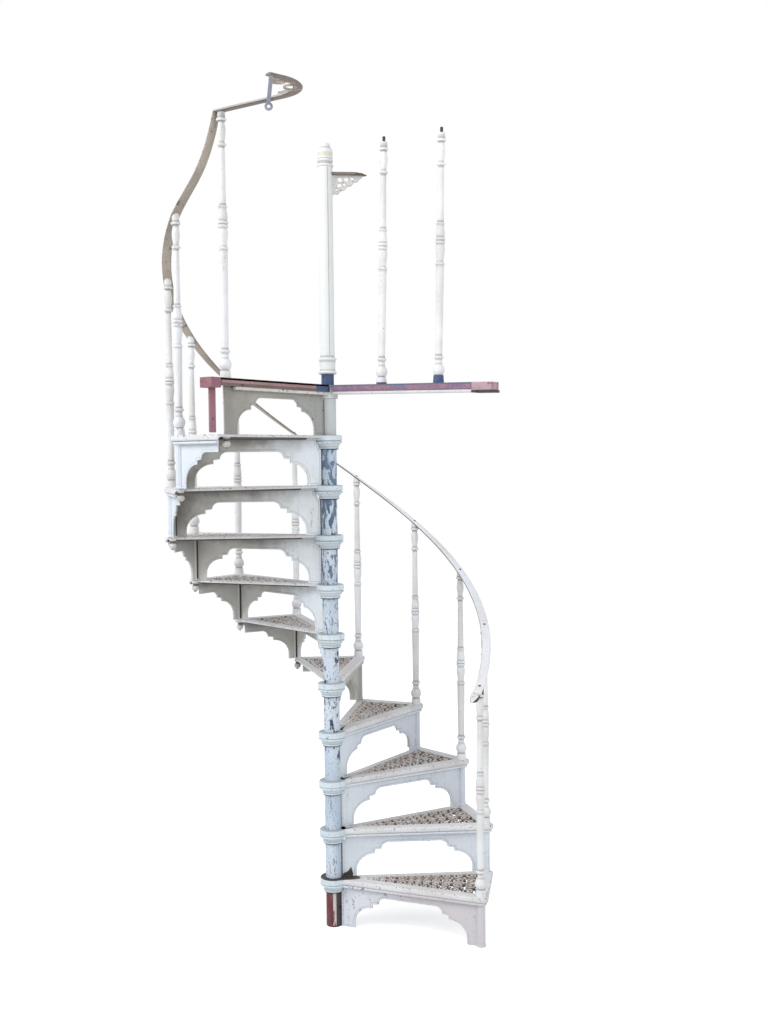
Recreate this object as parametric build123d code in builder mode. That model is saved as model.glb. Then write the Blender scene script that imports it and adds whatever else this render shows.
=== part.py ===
"""A cast-iron spiral staircase, built up from separate castings threaded on one newel pole.

Millimetres, +Z up. The origin is the centre of the newel foot on the floor. The steps climb
counterclockwise seen from above, and the last riser lies along -Y, so that the square landing
would fill the quarter between -Y and +X. Two of its edge castings remain.
"""

import os
from math import atan, cos, degrees, radians, sin, tan

from build123d import *

os.makedirs("parts", exist_ok=True)

# ---- driving dimensions ----
rise = 205.0
tread_count = 10
steps_per_turn = 14
baluster_circle = 643.0
landing_angle = 270.0

# ---- newel: a pole with everything threaded on it ----
pole_radius = 26.0
pole_wall = 5.0
pole_foot_plug = 25.0
pole_clearance = 0.3
sleeve_wall = 6.7
seat_gap = 0.2
hub_ring = 24.0
hub_ring_projection = 24.0
hub_collar = 31.0
hub_collar_foot = 6.0
hub_collar_projection = 9.0
landing_hub_projection = 9.0
hub_bead = 4.0
casting_root = 4.0

# ---- tread plate ----
plate_thickness = 10.0
nosing_depth = 22.0
nosing_overhang = 27.0
rim_width = 9.0
edge_margin = 30.0
back_seat = 4.0
grille_border = 20.0
grille_front = 15.0
grille_back = 20.0
grille_hub_border = 63.0
grille_rows = 9
grille_first_row = 1.1
grille_thickness = 6.0
grille_drop = 1.5
grille_fit = 0.3
pierced_hole = 36.0
pierced_pitch = 48.0

# ---- riser casting: arched plate, corner post and apron ----
riser_thickness = 10.0
riser_side_gap = 2.0
inner_foot = 62.0
post_width = 70.0
post_outer = 12.0
post_boss_radius = 17.0
apron_thickness = 10.0
apron_nut_gap = 10.0
apron_foot = 44.0
arch_spring = 26.0
arch_haunch_width = 78.0
arch_haunch_height = 67.0
arch_step = 15.0
arch_ledge = 27.0
arch_ledge_rise = 4.0
arch_crown_width = 31.0
arch_crown_height = 27.0

# ---- balusters and handrail ----
stair_baluster = 835.0
landing_baluster_extra = 113.0
arrival_baluster_extra = 131.0
arrival_inset = 22.0
baluster_foot_radius = 21.0
baluster_block = 23.0
baluster_block_radius = 14.5
stud_radius = 6.0
stud_height = 22.0
rail_width = 37.0
rail_thickness = 9.0
rail_crown_width = 20.0
rail_sections = 4
rail_climb_sections = 12
rail_overrun = 0.3
rail_start_slope = 0.55
rail_end_swell = 26.0
rail_swell_steps = 0.24
rail_joint_steps = (4, 8, 10)
rail_steepening = 5.0
rail_top_setback = 0.07
rail_seat_gap = 0.3

# ---- acorn nuts under the tread corners ----
nut_radius = 14.0
nut_neck = 9.0
nut_height = 44.0
nut_tip = 2.0
nut_acorn = 26.0
nut_acorn_radius = 13.0
nut_acorn_bulge = 11.0
nut_shoulder = 4.0
nut_flange = 6.0

# ---- landing castings ----
strip_back = 33.0
strip_overhang = 37.0
lug_length = 50.0
lug_depth = 38.0
flange_depth = 30.0
flange_width = 8.0
curb_half_width = 30.0
curb_overrun = 142.0
curb_lug = 85.0
curb_depth = 40.0
curb_web = 26.0
curb_bead = 8.0
curb_sag = 1.4
curb_sunk_baluster = 269.0
curb_outer_baluster = 536.0
strap_width = 30.0
strap_thickness = 8.0
strap_reach = 200.0

# ---- upper newel ----
bare_pole_height = 45.0
collar_bead = 14.0
collar_height = 41.0
collar_projection = 6.7
collar_foot_bead_projection = 6.0
collar_head_bead_projection = 5.0
shaft_wall = 3.7
shaft_top = 885.0
shaft_end_plug = 30.0
cap_bead = 12.0
cap_bead_projection = 5.0
cap_neck = 8.0
cap_drum = 36.0
cap_drum_inset = -1.0
cap_shoulder = 18.0
cap_shoulder_inset = 3.0
cap_dome = 11.0
cap_dome_inset = 10.0

# ---- top rail: level length, bend, tail and the brace that closes the loop ----
level_width = 34.0
level_thickness = 8.0
level_offset = 6.0
level_length = 300.0
bend_radius = 130.0
bend_turn = 105.0
tail_length = 55.0
brace_start = 230.0
brace_end_share = 0.6
brace_overrun = 8.0
brace_width = 14.0
brace_thickness = 10.0
ring_radius = 14.0
ring_bar = 4.0

# ---- newel bracket, turned away from the curb ----
bracket_angle = 40.0
bracket_top = 866.0
bracket_reach = 170.0
bracket_web = 150.0
bracket_height = 91.0
bracket_thickness = 8.0
stub_width = 46.0
stub_thickness = 13.0
bracket_scarf = 60.0
bracket_tip = 2.0
bracket_toe = 14.0
bracket_lip = 11.0
bracket_holes = ((30.0, 16.0, 9.0), (28.0, 38.0, 8.0), (56.0, 15.0, 8.0), (80.0, 12.0, 6.0))

# ---- worked out from the driving dimensions ----
step_angle = 360.0 / steps_per_turn
half_step = radians(step_angle / 2)
last_step = tread_count + 1
landing_height = last_step * rise
chord_distance = baluster_circle * cos(half_step)
chord_length = 2 * baluster_circle * sin(half_step)
step_arc = baluster_circle * radians(step_angle)
strip_reach = baluster_circle + strip_overhang
lug_reach = strip_reach + lug_length
curb_reach = baluster_circle + curb_overrun
landing_baluster = stair_baluster + landing_baluster_extra
arrival_baluster = stair_baluster + arrival_baluster_extra
arrival_reach = baluster_circle - arrival_inset
level_height = landing_height + arrival_baluster
level_reach = arrival_reach + level_offset
rail_top_step = last_step - rail_top_setback
rail_climb = level_height - rail_top_step * rise - stair_baluster
bore_radius = pole_radius + pole_clearance
sleeve_radius = bore_radius + sleeve_wall
hub_radius = sleeve_radius + hub_ring_projection
hub_collar_radius = sleeve_radius + hub_collar_projection
landing_hub_radius = sleeve_radius + landing_hub_projection
hub_height = hub_ring + hub_collar
root_radius = sleeve_radius + casting_root
back_margin = riser_thickness / 2 + back_seat
grille_inner = hub_radius + grille_hub_border
collar_radius = bore_radius + collar_projection
shaft_radius = bore_radius + shaft_wall


def angle_of(step):
    """Direction of a step's front edge, in degrees; fractions of a step are allowed."""
    return landing_angle - (last_step - step) * step_angle


def reach_of(step):
    """Distance of a baluster from the newel: the last one stands a little inside the circle."""
    return baluster_circle - arrival_inset * max(0.0, step - tread_count)


def step_plane(step, height):
    """A level plane whose x runs outwards along the step's front edge, y towards its back."""
    turn = radians(angle_of(step))
    return Plane(origin=(0, 0, height), x_dir=(cos(turn), sin(turn), 0), z_dir=(0, 0, 1))


def riser_plane(step, height):
    """An upright plane along the step's front edge: x outwards, y up."""
    turn = radians(angle_of(step))
    return Plane(
        origin=(0, 0, height), x_dir=(cos(turn), sin(turn), 0), z_dir=(sin(turn), -cos(turn), 0)
    )


def apron_plane(step, height):
    """An upright plane under the tread's outer edge: x from this corner to the next, y up."""
    turn = radians(angle_of(step))
    middle = turn + half_step
    corner = (baluster_circle * cos(turn), baluster_circle * sin(turn), height)
    return Plane(
        origin=corner, x_dir=(-sin(middle), cos(middle), 0), z_dir=(cos(middle), sin(middle), 0)
    )


def turning_plane(place):
    """The upright plane through a standing plane's origin, for an outline that is revolved."""
    return Plane(origin=place.origin, x_dir=place.x_dir, z_dir=-place.y_dir)


def spin(place):
    """The axis that an outline on turning_plane(place) is revolved about."""
    return Axis(place.origin, place.z_dir)


def save(shape, name):
    shape.label = name
    export_step(shape, f"parts/{name}.step")


# ---- outlines ----


def turned_outline(foot_radius, elements):
    """Stack of turned elements from the floor up, drawn in x (radius) and y (height).

    Each element is (kind, height, radius at its top, widest radius). "line" runs straight to the
    new radius, "step" goes level to it, and "bead" bulges out to its widest radius on the way.
    """
    height = 0.0
    radius = foot_radius
    Line((0, 0), (foot_radius, 0))
    for kind, length, top, *widest in elements:
        end = (top, height + length)
        if kind == "bead":
            ThreePointArc((radius, height), (widest[0], height + length / 2), end)
        else:
            Line((radius, height), end)
        height += length
        radius = top
    Line((radius, height), (0, height))
    Line((0, height), (0, 0))


def sector_outline(front, outer, back, inner):
    """A tread's plan: front edge, straight outer edge, back edge and hub end.

    front and back are distances past the radial lines of this step and the next, outer is past
    the line between two baluster centres, and inner is the distance of the hub end.
    """
    outer_line = chord_distance + outer
    turn = radians(step_angle)
    reach_front = (outer_line + front * sin(half_step)) / cos(half_step)
    reach_back = (outer_line + back * sin(half_step)) / cos(half_step)
    start = (inner, -front)
    front_corner = (reach_front, -front)
    back_corner = (
        reach_back * cos(turn) - back * sin(turn),
        reach_back * sin(turn) + back * cos(turn),
    )
    back_start = (inner * cos(turn) - back * sin(turn), inner * sin(turn) + back * cos(turn))
    Polyline(start, front_corner, back_corner, back_start, close=True)


def half_arch(foot, direction):
    """From the foot's inner corner up over haunch, step and crown; direction is +1 or -1.

    Returns the point where the flat crown begins.
    """
    spring = (foot, arch_spring)
    haunch = (foot + direction * arch_haunch_width, arch_spring + arch_haunch_height)
    ledge = (haunch[0], haunch[1] + arch_step)
    lip = (foot + direction * (arch_haunch_width + arch_ledge), ledge[1] + arch_ledge_rise)
    crown = (lip[0] + direction * arch_crown_width, lip[1] + arch_crown_height)
    start = 90 if direction > 0 else 0
    Line((foot, 0), spring)
    EllipticalCenterArc(
        (haunch[0], spring[1]), arch_haunch_width, arch_haunch_height, start, arc_size=90
    )
    Line(haunch, ledge)
    Line(ledge, lip)
    EllipticalCenterArc(
        (crown[0], lip[1]), arch_crown_width, arch_crown_height, start, arc_size=90
    )
    return crown


def turning_of(height):
    """A baluster's turned elements under its block; its lower shaft takes up the height asked for."""
    foot = [
        ("line", 27.0, 19.0),
        ("step", 0.0, 13.5),
        ("bead", 46.0, 13.5, 23.5),
        ("line", 18.0, 13.0),
        ("bead", 14.0, 13.5, 19.5),
    ]
    waist = [
        ("bead", 10.0, 15.0, 19.0),
        ("line", 9.0, 14.5),
        ("line", 42.0, 18.0),
        ("line", 18.0, 16.0),
        ("bead", 13.0, 16.0, 20.0),
        ("bead", 13.0, 16.0, 20.0),
        ("line", 12.0, 17.5),
        ("line", 36.0, 14.5),
        ("bead", 8.0, 13.0, 17.5),
        ("line", 212.0, 11.0),
    ]
    head = [
        ("bead", 14.0, 11.5, 17.0),
        ("line", 42.0, 15.0),
        ("line", 37.0, 11.5),
        ("step", 0.0, 18.5),
        ("line", 9.0, 18.5),
        ("step", 0.0, baluster_block_radius),
    ]
    turned = sum(element[1] for element in foot + waist + head)
    lower_shaft = height - turned - baluster_block
    return foot + [("line", lower_shaft, 16.0)] + waist + head


# ---- newel: pole, sleeves, upper collar and shaft, cap ----

base = Plane.XY
top_of_shaft = landing_height + shaft_top
with BuildPart() as newel_pole:
    with BuildSketch(turning_plane(base)):
        with BuildLine():
            Polyline(
                (0, 0),
                (pole_radius, 0),
                (pole_radius, top_of_shaft - shaft_end_plug),
                (pole_radius - pole_wall, top_of_shaft - shaft_end_plug),
                (pole_radius - pole_wall, pole_foot_plug),
                (0, pole_foot_plug),
                close=True,
            )
        make_face()
    revolve(axis=spin(base))
save(newel_pole.part, "newel_pole")

with BuildPart() as newel_sleeves:
    for step in range(1, last_step + 1):
        foot = (step - 1) * rise + (seat_gap if step > 1 else 0)
        length = rise - hub_height - seat_gap - (seat_gap if step > 1 else 0)
        with BuildSketch(Plane.XY.offset(foot)):
            Circle(sleeve_radius)
            Circle(bore_radius, mode=Mode.SUBTRACT)
        extrude(amount=length)
save(newel_sleeves.part, "newel_sleeves")

collar_foot = base.offset(landing_height + bare_pole_height)
shaft_length = shaft_top - bare_pole_height - collar_height - 2 * collar_bead
with BuildPart() as newel_shaft:
    with BuildSketch(turning_plane(collar_foot)):
        with BuildLine():
            turned_outline(
                collar_radius,
                [
                    ("bead", collar_bead, collar_radius, collar_radius + collar_foot_bead_projection),
                    ("line", collar_height, collar_radius),
                    ("bead", collar_bead, shaft_radius, collar_radius + collar_head_bead_projection),
                    ("line", shaft_length, shaft_radius),
                ],
            )
        make_face()
    revolve(axis=spin(collar_foot))
    with BuildSketch(collar_foot):
        Circle(bore_radius)
    bore_depth = shaft_top - bare_pole_height - shaft_end_plug + pole_clearance
    extrude(amount=bore_depth, mode=Mode.SUBTRACT)
save(newel_shaft.part, "newel_shaft")

cap_foot = base.offset(top_of_shaft)
with BuildPart() as newel_cap:
    with BuildSketch(turning_plane(cap_foot)):
        with BuildLine():
            turned_outline(
                shaft_radius,
                [
                    ("bead", cap_bead, shaft_radius, shaft_radius + cap_bead_projection),
                    ("line", cap_neck, shaft_radius),
                    ("bead", cap_bead, shaft_radius, shaft_radius + cap_bead_projection),
                    ("line", cap_drum, shaft_radius - cap_drum_inset),
                    ("line", cap_shoulder, shaft_radius - cap_shoulder_inset),
                    ("line", cap_dome, shaft_radius - cap_dome_inset),
                ],
            )
        make_face()
    revolve(axis=spin(cap_foot))
save(newel_cap.part, "newel_cap")


# ---- treads ----


def add_hub(top):
    """Ring, bead and tapered collar round the newel, with the ring's top at the height given."""
    place = Plane.XY.offset(top - hub_height)
    with BuildSketch(turning_plane(place)) as outline:
        with BuildLine():
            bead_root = (hub_radius - hub_bead, hub_collar - hub_bead)
            bead_top = (hub_radius - hub_bead, hub_collar + hub_bead)
            Polyline(
                (bore_radius, 0),
                (hub_collar_radius, 0),
                (hub_collar_radius, hub_collar_foot),
                (hub_radius - 2 * hub_bead, hub_collar - hub_bead),
                bead_root,
            )
            ThreePointArc(bead_root, (hub_radius, hub_collar), bead_top)
            Polyline(
                bead_top,
                (hub_radius, hub_collar + hub_bead),
                (hub_radius, hub_height),
                (bore_radius, hub_height),
                (bore_radius, 0),
            )
        make_face()
    revolve(outline.sketch, axis=spin(place))


def grille_outline(fit):
    """Plan of the pierced panel's opening or, with a fit, of the panel itself."""
    sector_outline(-grille_front - fit, -grille_border - fit, -grille_back - fit, grille_inner)


for step in range(1, tread_count + 1):
    top = step * rise
    with BuildPart() as tread:
        with BuildSketch(step_plane(step, top - nosing_depth)):
            with BuildLine():
                sector_outline(nosing_overhang, edge_margin, back_margin, root_radius)
            make_face()
        extrude(amount=nosing_depth)
        with BuildSketch(step_plane(step, top - nosing_depth)):
            with BuildLine():
                sector_outline(
                    nosing_overhang - rim_width, edge_margin - rim_width, back_margin + 1, 0
                )
            make_face()
        extrude(amount=nosing_depth - plate_thickness, mode=Mode.SUBTRACT)
        with BuildSketch(step_plane(step, top - plate_thickness)):
            with BuildLine():
                grille_outline(0)
            make_face()
        extrude(amount=plate_thickness, mode=Mode.SUBTRACT)
        add_hub(top)
    save(tread.part, f"tread_{step:02d}")

with BuildPart() as tread_grilles:
    for step in range(1, tread_count + 1):
        with BuildSketch(step_plane(step, step * rise - grille_drop - grille_thickness)):
            with BuildLine():
                grille_outline(grille_fit)
            make_face()
            for row in range(grille_rows):
                radius = grille_inner + pierced_pitch * (row + grille_first_row)
                width = radius * radians(step_angle) - grille_front - grille_back
                count = int((width - pierced_hole) / pierced_pitch) + 1
                for place in range(count):
                    across = (place - (count - 1) / 2) * pierced_pitch
                    turn = step_angle / 2 + degrees((across + grille_front - grille_back) / radius)
                    with PolarLocations(radius, 1, start_angle=turn):
                        RegularPolygon(pierced_hole / 2, 4, mode=Mode.SUBTRACT)
        extrude(amount=grille_thickness)
save(tread_grilles.part, "tread_grilles")

# ---- risers: each stands on the tread below and carries the nosing above ----

riser_inner = sleeve_radius + riser_side_gap
riser_hub_side = hub_radius + riser_side_gap
riser_top = rise - plate_thickness
hub_foot = rise - hub_height - riser_side_gap
apron_end_gap = nut_radius + apron_nut_gap

for step in range(1, last_step + 1):
    foot = (step - 1) * rise
    riser_outer = reach_of(step) + post_outer
    with BuildPart() as riser:
        with BuildSketch(riser_plane(step, foot)):
            with BuildLine():
                inner_crown = half_arch(riser_inner + inner_foot, 1)
                outer_crown = half_arch(riser_outer - post_width, -1)
                Line(inner_crown, outer_crown)
                Polyline(
                    (riser_inner + inner_foot, 0),
                    (riser_inner, 0),
                    (riser_inner, hub_foot),
                    (riser_hub_side, hub_foot),
                    (riser_hub_side, riser_top),
                    (riser_outer, riser_top),
                    (riser_outer, 0),
                    (riser_outer - post_width, 0),
                )
            make_face()
        extrude(amount=riser_thickness / 2, both=True)
        if step <= tread_count:
            with BuildSketch(apron_plane(step, foot)):
                with BuildLine():
                    crown = half_arch(apron_foot, 1)
                    Polyline(
                        crown,
                        (chord_length - apron_end_gap, crown[1]),
                        (chord_length - apron_end_gap, riser_top),
                        (-post_outer, riser_top),
                        (-post_outer, 0),
                        (apron_foot, 0),
                    )
                make_face()
            extrude(amount=apron_thickness / 2, both=True)
        with BuildSketch(step_plane(step, foot)):
            with Locations((reach_of(step), 0)):
                Circle(post_boss_radius)
        extrude(amount=riser_top)
    save(riser.part, f"riser_{step:02d}")

# ---- acorn nuts: the baluster rods end in them under the tread below ----

with BuildPart() as acorn_nuts:
    for step in range(2, last_step + 1):
        turn = radians(angle_of(step))
        top = (step - 1) * rise - plate_thickness
        place = Plane(
            origin=(reach_of(step) * cos(turn), reach_of(step) * sin(turn), top - nut_height),
            x_dir=(cos(turn), sin(turn), 0),
        )
        with BuildSketch(turning_plane(place)):
            with BuildLine():
                turned_outline(
                    nut_tip,
                    [
                        ("bead", nut_acorn, nut_acorn_radius, nut_acorn_bulge),
                        ("line", nut_shoulder, nut_neck),
                        ("line", nut_height - nut_acorn - nut_shoulder - nut_flange, nut_neck),
                        ("step", 0.0, nut_radius),
                        ("line", nut_flange, nut_radius),
                    ],
                )
            make_face()
        revolve(axis=spin(place))
save(acorn_nuts.part, "acorn_nuts")

# ---- handrail line: the underside's height at any step, and its slope there ----


def rail_height(step):
    """Height of the rail's underside: it climbs steeply to the level rail before the last baluster."""
    if step < 1:
        return rise + stair_baluster + rail_start_slope * rise * (step - 1)
    steeper = max(0.0, step - tread_count) / (rail_top_step - tread_count)
    return min(level_height, step * rise + stair_baluster + rail_climb * steeper**rail_steepening)


def rail_slope(step):
    """Rise of the rail per millimetre along the baluster circle, just before this step."""
    nudge = 0.01
    return (rail_height(step) - rail_height(step - nudge)) / (step_arc * nudge)


def rail_swell(step):
    """Extra thickness under the rail's free end, growing evenly over its last stretch."""
    past = rail_overrun - (1 - step)
    return rail_end_swell * max(0.0, 1 - past / rail_swell_steps)


# ---- balusters ----


def turn_baluster(place, height, spare=0.0):
    """A turned baluster of the height given, its block longer by a spare length to be cut off."""
    block = ("line", baluster_block + spare, baluster_block_radius)
    with BuildSketch(turning_plane(place)) as outline:
        with BuildLine():
            turned_outline(baluster_foot_radius, turning_of(height) + [block])
        make_face()
    revolve(outline.sketch, axis=spin(place))


for step in range(1, last_step + 1):
    turn = radians(angle_of(step))
    foot = Vector(reach_of(step) * cos(turn), reach_of(step) * sin(turn), step * rise)
    lean = atan(rail_slope(step))
    height = rail_height(step) - step * rise - rail_seat_gap / cos(lean)
    spare = baluster_block_radius * tan(lean) if step < last_step else 0.0
    with BuildPart() as baluster:
        turn_baluster(Plane(origin=foot, x_dir=(cos(turn), sin(turn), 0)), height, spare)
        split(
            bisect_by=Plane(
                origin=foot + Vector(0, 0, height),
                x_dir=(cos(turn), sin(turn), 0),
                z_dir=(sin(turn) * sin(lean), -cos(turn) * sin(lean), cos(lean)),
            ),
            keep=Keep.BOTTOM,
        )
    save(baluster.part, f"baluster_{step:02d}")

# ---- landing castings: nosing with its lug and strap, and the sagging curb ----

landing_plane = step_plane(last_step, landing_height)
strip_root = root_radius
strip_width = nosing_overhang + strip_back
strip_shift = (strip_back - nosing_overhang) / 2
with BuildPart() as landing_nosing:
    with BuildSketch(landing_plane.offset(-nosing_depth)):
        with Locations(((strip_reach + strip_root) / 2, strip_shift)):
            Rectangle(strip_reach - strip_root, strip_width)
    extrude(amount=nosing_depth)
    with BuildSketch(landing_plane.offset(-nosing_depth)):
        with Locations(((strip_reach + strip_root) / 2, strip_shift)):
            Rectangle(strip_reach, strip_width - rim_width - flange_width)
    extrude(amount=nosing_depth - plate_thickness, mode=Mode.SUBTRACT)
    with BuildSketch(landing_plane.offset(-flange_depth)):
        with Locations((strip_reach / 2, strip_back - flange_width / 2)):
            Rectangle(strip_reach, flange_width)
    extrude(amount=flange_depth)
    with BuildSketch(landing_plane.offset(-lug_depth)):
        with Locations(((lug_reach + strip_reach) / 2, strip_shift)):
            Rectangle(lug_reach - strip_reach, strip_width)
    extrude(amount=lug_depth)
    with BuildSketch(landing_plane.offset(-strap_reach)):
        with Locations((strip_reach + strap_width / 2, 0)):
            Rectangle(strap_width, strap_thickness)
    extrude(amount=strap_reach)
    with BuildSketch(landing_plane.offset(-hub_height)):
        Circle(landing_hub_radius)
    extrude(amount=hub_height)
    with BuildSketch(landing_plane.offset(-hub_height)):
        Circle(bore_radius)
    extrude(amount=hub_height, mode=Mode.SUBTRACT)
save(landing_nosing.part, "landing_nosing")

sag = radians(curb_sag)
curb_run = Vector(cos(sag), 0, -sin(sag))
curb_up = Vector(sin(sag), 0, cos(sag))
curb_root = Vector(0, 0, landing_height)


def curb_plane(along):
    """Level across the curb, standing square to it at a distance from the newel."""
    return Plane(origin=curb_root + curb_run * along, x_dir=curb_run, z_dir=curb_up)


with BuildPart() as landing_curb:
    section = Plane(origin=curb_root + curb_run * root_radius, x_dir=(0, 1, 0), z_dir=curb_run)
    with BuildSketch(section):
        with BuildLine():
            Polyline(
                (-curb_half_width, 0),
                (curb_half_width, 0),
                (curb_half_width, -curb_web),
                (curb_half_width - flange_width, -curb_web),
                (curb_half_width - flange_width, -plate_thickness),
                (flange_width - curb_half_width, -plate_thickness),
                (flange_width - curb_half_width, -curb_web),
                (-curb_half_width, -curb_web),
                close=True,
            )
        make_face()
        with Locations((-curb_half_width + curb_bead, curb_bead - curb_depth)):
            Circle(curb_bead)
    extrude(amount=curb_reach - root_radius)
    with BuildSketch(curb_plane(curb_reach - curb_lug / 2).offset(-curb_depth)):
        Rectangle(curb_lug, 2 * curb_half_width)
    extrude(amount=curb_depth)
    with BuildSketch(Plane.XY.offset(landing_height - hub_height)):
        Circle(landing_hub_radius + pole_clearance)
        Rectangle(2 * (strip_back + pole_clearance), 2 * hub_radius)
    extrude(amount=2 * hub_height, mode=Mode.SUBTRACT)
save(landing_curb.part, "landing_curb")

with BuildPart() as landing_balusters:
    for along in (curb_sunk_baluster, curb_outer_baluster):
        place = curb_plane(along)
        turn_baluster(place, landing_baluster)
        with BuildSketch(place.offset(landing_baluster)):
            Circle(stud_radius)
        extrude(amount=stud_height)
save(landing_balusters.part, "landing_balusters")

# ---- handrail: lengths scarfed end to end, each a twisted strip ----


def rail_section(step):
    """Flat underside, crowned top; thicker upright where the rail is steep."""
    room = level_height + level_thickness - rail_height(step)
    depth = min(room, rail_thickness / cos(atan(rail_slope(step))))
    under = -rail_swell(step)
    low = reach_of(step) - rail_width / 2
    high = reach_of(step) + rail_width / 2
    edge = (rail_width - rail_crown_width) / 2
    with BuildSketch(riser_plane(step, rail_height(step))) as section:
        with BuildLine():
            Polyline(
                (low, under),
                (high, under),
                (high, depth / 2),
                (high - edge, depth),
                (low + edge, depth),
                (low, depth / 2),
                close=True,
            )
        make_face()
    return section.sketch


rail_ends = (1 - rail_overrun,) + rail_joint_steps + (rail_top_step,)
with BuildPart() as handrail:
    for start, end in zip(rail_ends, rail_ends[1:]):
        density = rail_sections if start < tread_count else rail_climb_sections
        count = round((end - start) * density)
        first = start + rail_seat_gap / step_arc
        loft([rail_section(first + (end - first) * n / count) for n in range(count + 1)], ruled=True)
save(handrail.part, "handrail")

# ---- landing rail: level length, bend and tail over a brace with a knob under its foot ----

level_plane = Plane.XY.offset(level_height)
level_inner = level_reach - level_width / 2
level_start = rail_seat_gap - level_inner * tan(radians(rail_top_setback * step_angle))
level_end = (level_length, -level_reach)
with BuildPart() as landing_rail:
    with BuildSketch(level_plane):
        with BuildLine():
            Line((level_start, -level_reach), level_end)
            bend = JernArc(level_end, (1, 0), bend_radius, -bend_turn)
            tail = PolarLine(bend @ 1, tail_length, direction=bend % 1)
        trace(line_width=level_width)
    extrude(amount=level_thickness)
save(landing_rail.part, "landing_rail")

brace_foot = Vector(brace_start, -level_reach)
brace_head = tail @ brace_end_share
brace_run = (brace_head - brace_foot).normalized()
brace_level = level_plane.origin.Z - brace_thickness
with BuildPart() as rail_brace:
    with BuildSketch(level_plane.offset(-brace_thickness)):
        with BuildLine():
            Line(brace_foot, brace_head + brace_run * brace_overrun)
        trace(line_width=brace_width)
    extrude(amount=brace_thickness)
    ring_plane = Plane(
        origin=(brace_foot.X, brace_foot.Y, brace_level - ring_radius),
        x_dir=(0, 0, 1),
        z_dir=(brace_run.X, brace_run.Y, 0),
    )
    with Locations(ring_plane):
        Torus(ring_radius, ring_bar)
save(rail_brace.part, "rail_brace")

# ---- newel bracket: a scarfed rail stub over a pierced web, for a rail that is gone ----

bracket_turn = radians(bracket_angle)
web_height = bracket_height - stub_thickness
web_top = landing_height + bracket_top - stub_thickness
bracket_side = Plane(
    origin=(0, 0, web_top),
    x_dir=(cos(bracket_turn), sin(bracket_turn), 0),
    z_dir=(sin(bracket_turn), -cos(bracket_turn), 0),
)
with BuildPart() as newel_bracket:
    with BuildSketch(bracket_side):
        with BuildLine():
            Polyline(
                (0, 0),
                (bracket_reach, 0),
                (bracket_reach, bracket_tip),
                (bracket_reach - bracket_scarf, stub_thickness),
                (0, stub_thickness),
                close=True,
            )
        make_face()
    extrude(amount=stub_width / 2, both=True)
    with BuildSketch(bracket_side):
        with BuildLine():
            Polyline(
                (0, 0),
                (bracket_web, 0),
                (bracket_web, -bracket_lip),
                (shaft_radius + bracket_toe, -web_height),
                (0, -web_height),
                close=True,
            )
        make_face()
        for out, down, size in bracket_holes:
            with Locations((shaft_radius + out, -down)):
                RegularPolygon(size, 4, mode=Mode.SUBTRACT)
    extrude(amount=bracket_thickness / 2, both=True)
    with BuildSketch(Plane.XY.offset(web_top - web_height)):
        Circle(shaft_radius + rail_seat_gap)
        with BuildLine():
            behind = PolarLine((0, 0), bracket_reach, angle=bracket_angle + 180)
        trace(line_width=2 * stub_width)
    extrude(amount=bracket_height, mode=Mode.SUBTRACT)
save(newel_bracket.part, "newel_bracket")
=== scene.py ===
"""Looks of a cast-iron spiral staircase: fretwork treads on arched risers round one newel.

Geometry is worked out in millimetres, +Z up, with the newel's foot at the origin, and put into
the meshes in metres. Step k's front edge points away from the newel at angle_of(k).
"""

from math import atan2, cos, pi, radians, sin, sqrt, tan

import bmesh
import bpy
import numpy as np
from mathutils import Matrix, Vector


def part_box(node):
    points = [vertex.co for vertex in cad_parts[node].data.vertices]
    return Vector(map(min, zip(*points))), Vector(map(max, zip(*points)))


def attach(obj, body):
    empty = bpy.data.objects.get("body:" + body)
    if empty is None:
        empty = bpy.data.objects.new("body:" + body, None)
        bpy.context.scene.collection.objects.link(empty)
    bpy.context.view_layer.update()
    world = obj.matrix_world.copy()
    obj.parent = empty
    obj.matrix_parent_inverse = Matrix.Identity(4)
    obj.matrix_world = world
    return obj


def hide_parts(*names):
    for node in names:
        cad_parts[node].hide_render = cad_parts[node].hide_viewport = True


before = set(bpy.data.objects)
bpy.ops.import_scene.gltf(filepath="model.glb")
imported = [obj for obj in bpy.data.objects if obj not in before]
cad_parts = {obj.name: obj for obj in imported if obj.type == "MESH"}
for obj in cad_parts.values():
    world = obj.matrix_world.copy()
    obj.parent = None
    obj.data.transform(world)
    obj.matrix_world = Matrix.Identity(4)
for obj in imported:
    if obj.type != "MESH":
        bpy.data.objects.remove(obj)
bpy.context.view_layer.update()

MM = 0.001


def low(node):
    """Lower corner of a node's box in millimetres."""
    return np.array(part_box(node)[0]) / MM


def high(node):
    """Upper corner of a node's box in millimetres."""
    return np.array(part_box(node)[1]) / MM


# ---- sizes: the stair's own grid ----
tread_count = 10
last_step = tread_count + 1
steps_per_turn = 14
landing_angle = 270.0
rise = high("tread_01")[2]
landing_height = last_step * rise
arrival_inset = 22.0
arrival_reach = -(low("baluster_11")[1] + high("baluster_11")[1]) / 2
baluster_circle = arrival_reach + arrival_inset
step_angle = 360 / steps_per_turn
half_step = radians(step_angle / 2)
chord_distance = baluster_circle * cos(half_step)
chord_length = 2 * baluster_circle * sin(half_step)

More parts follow.
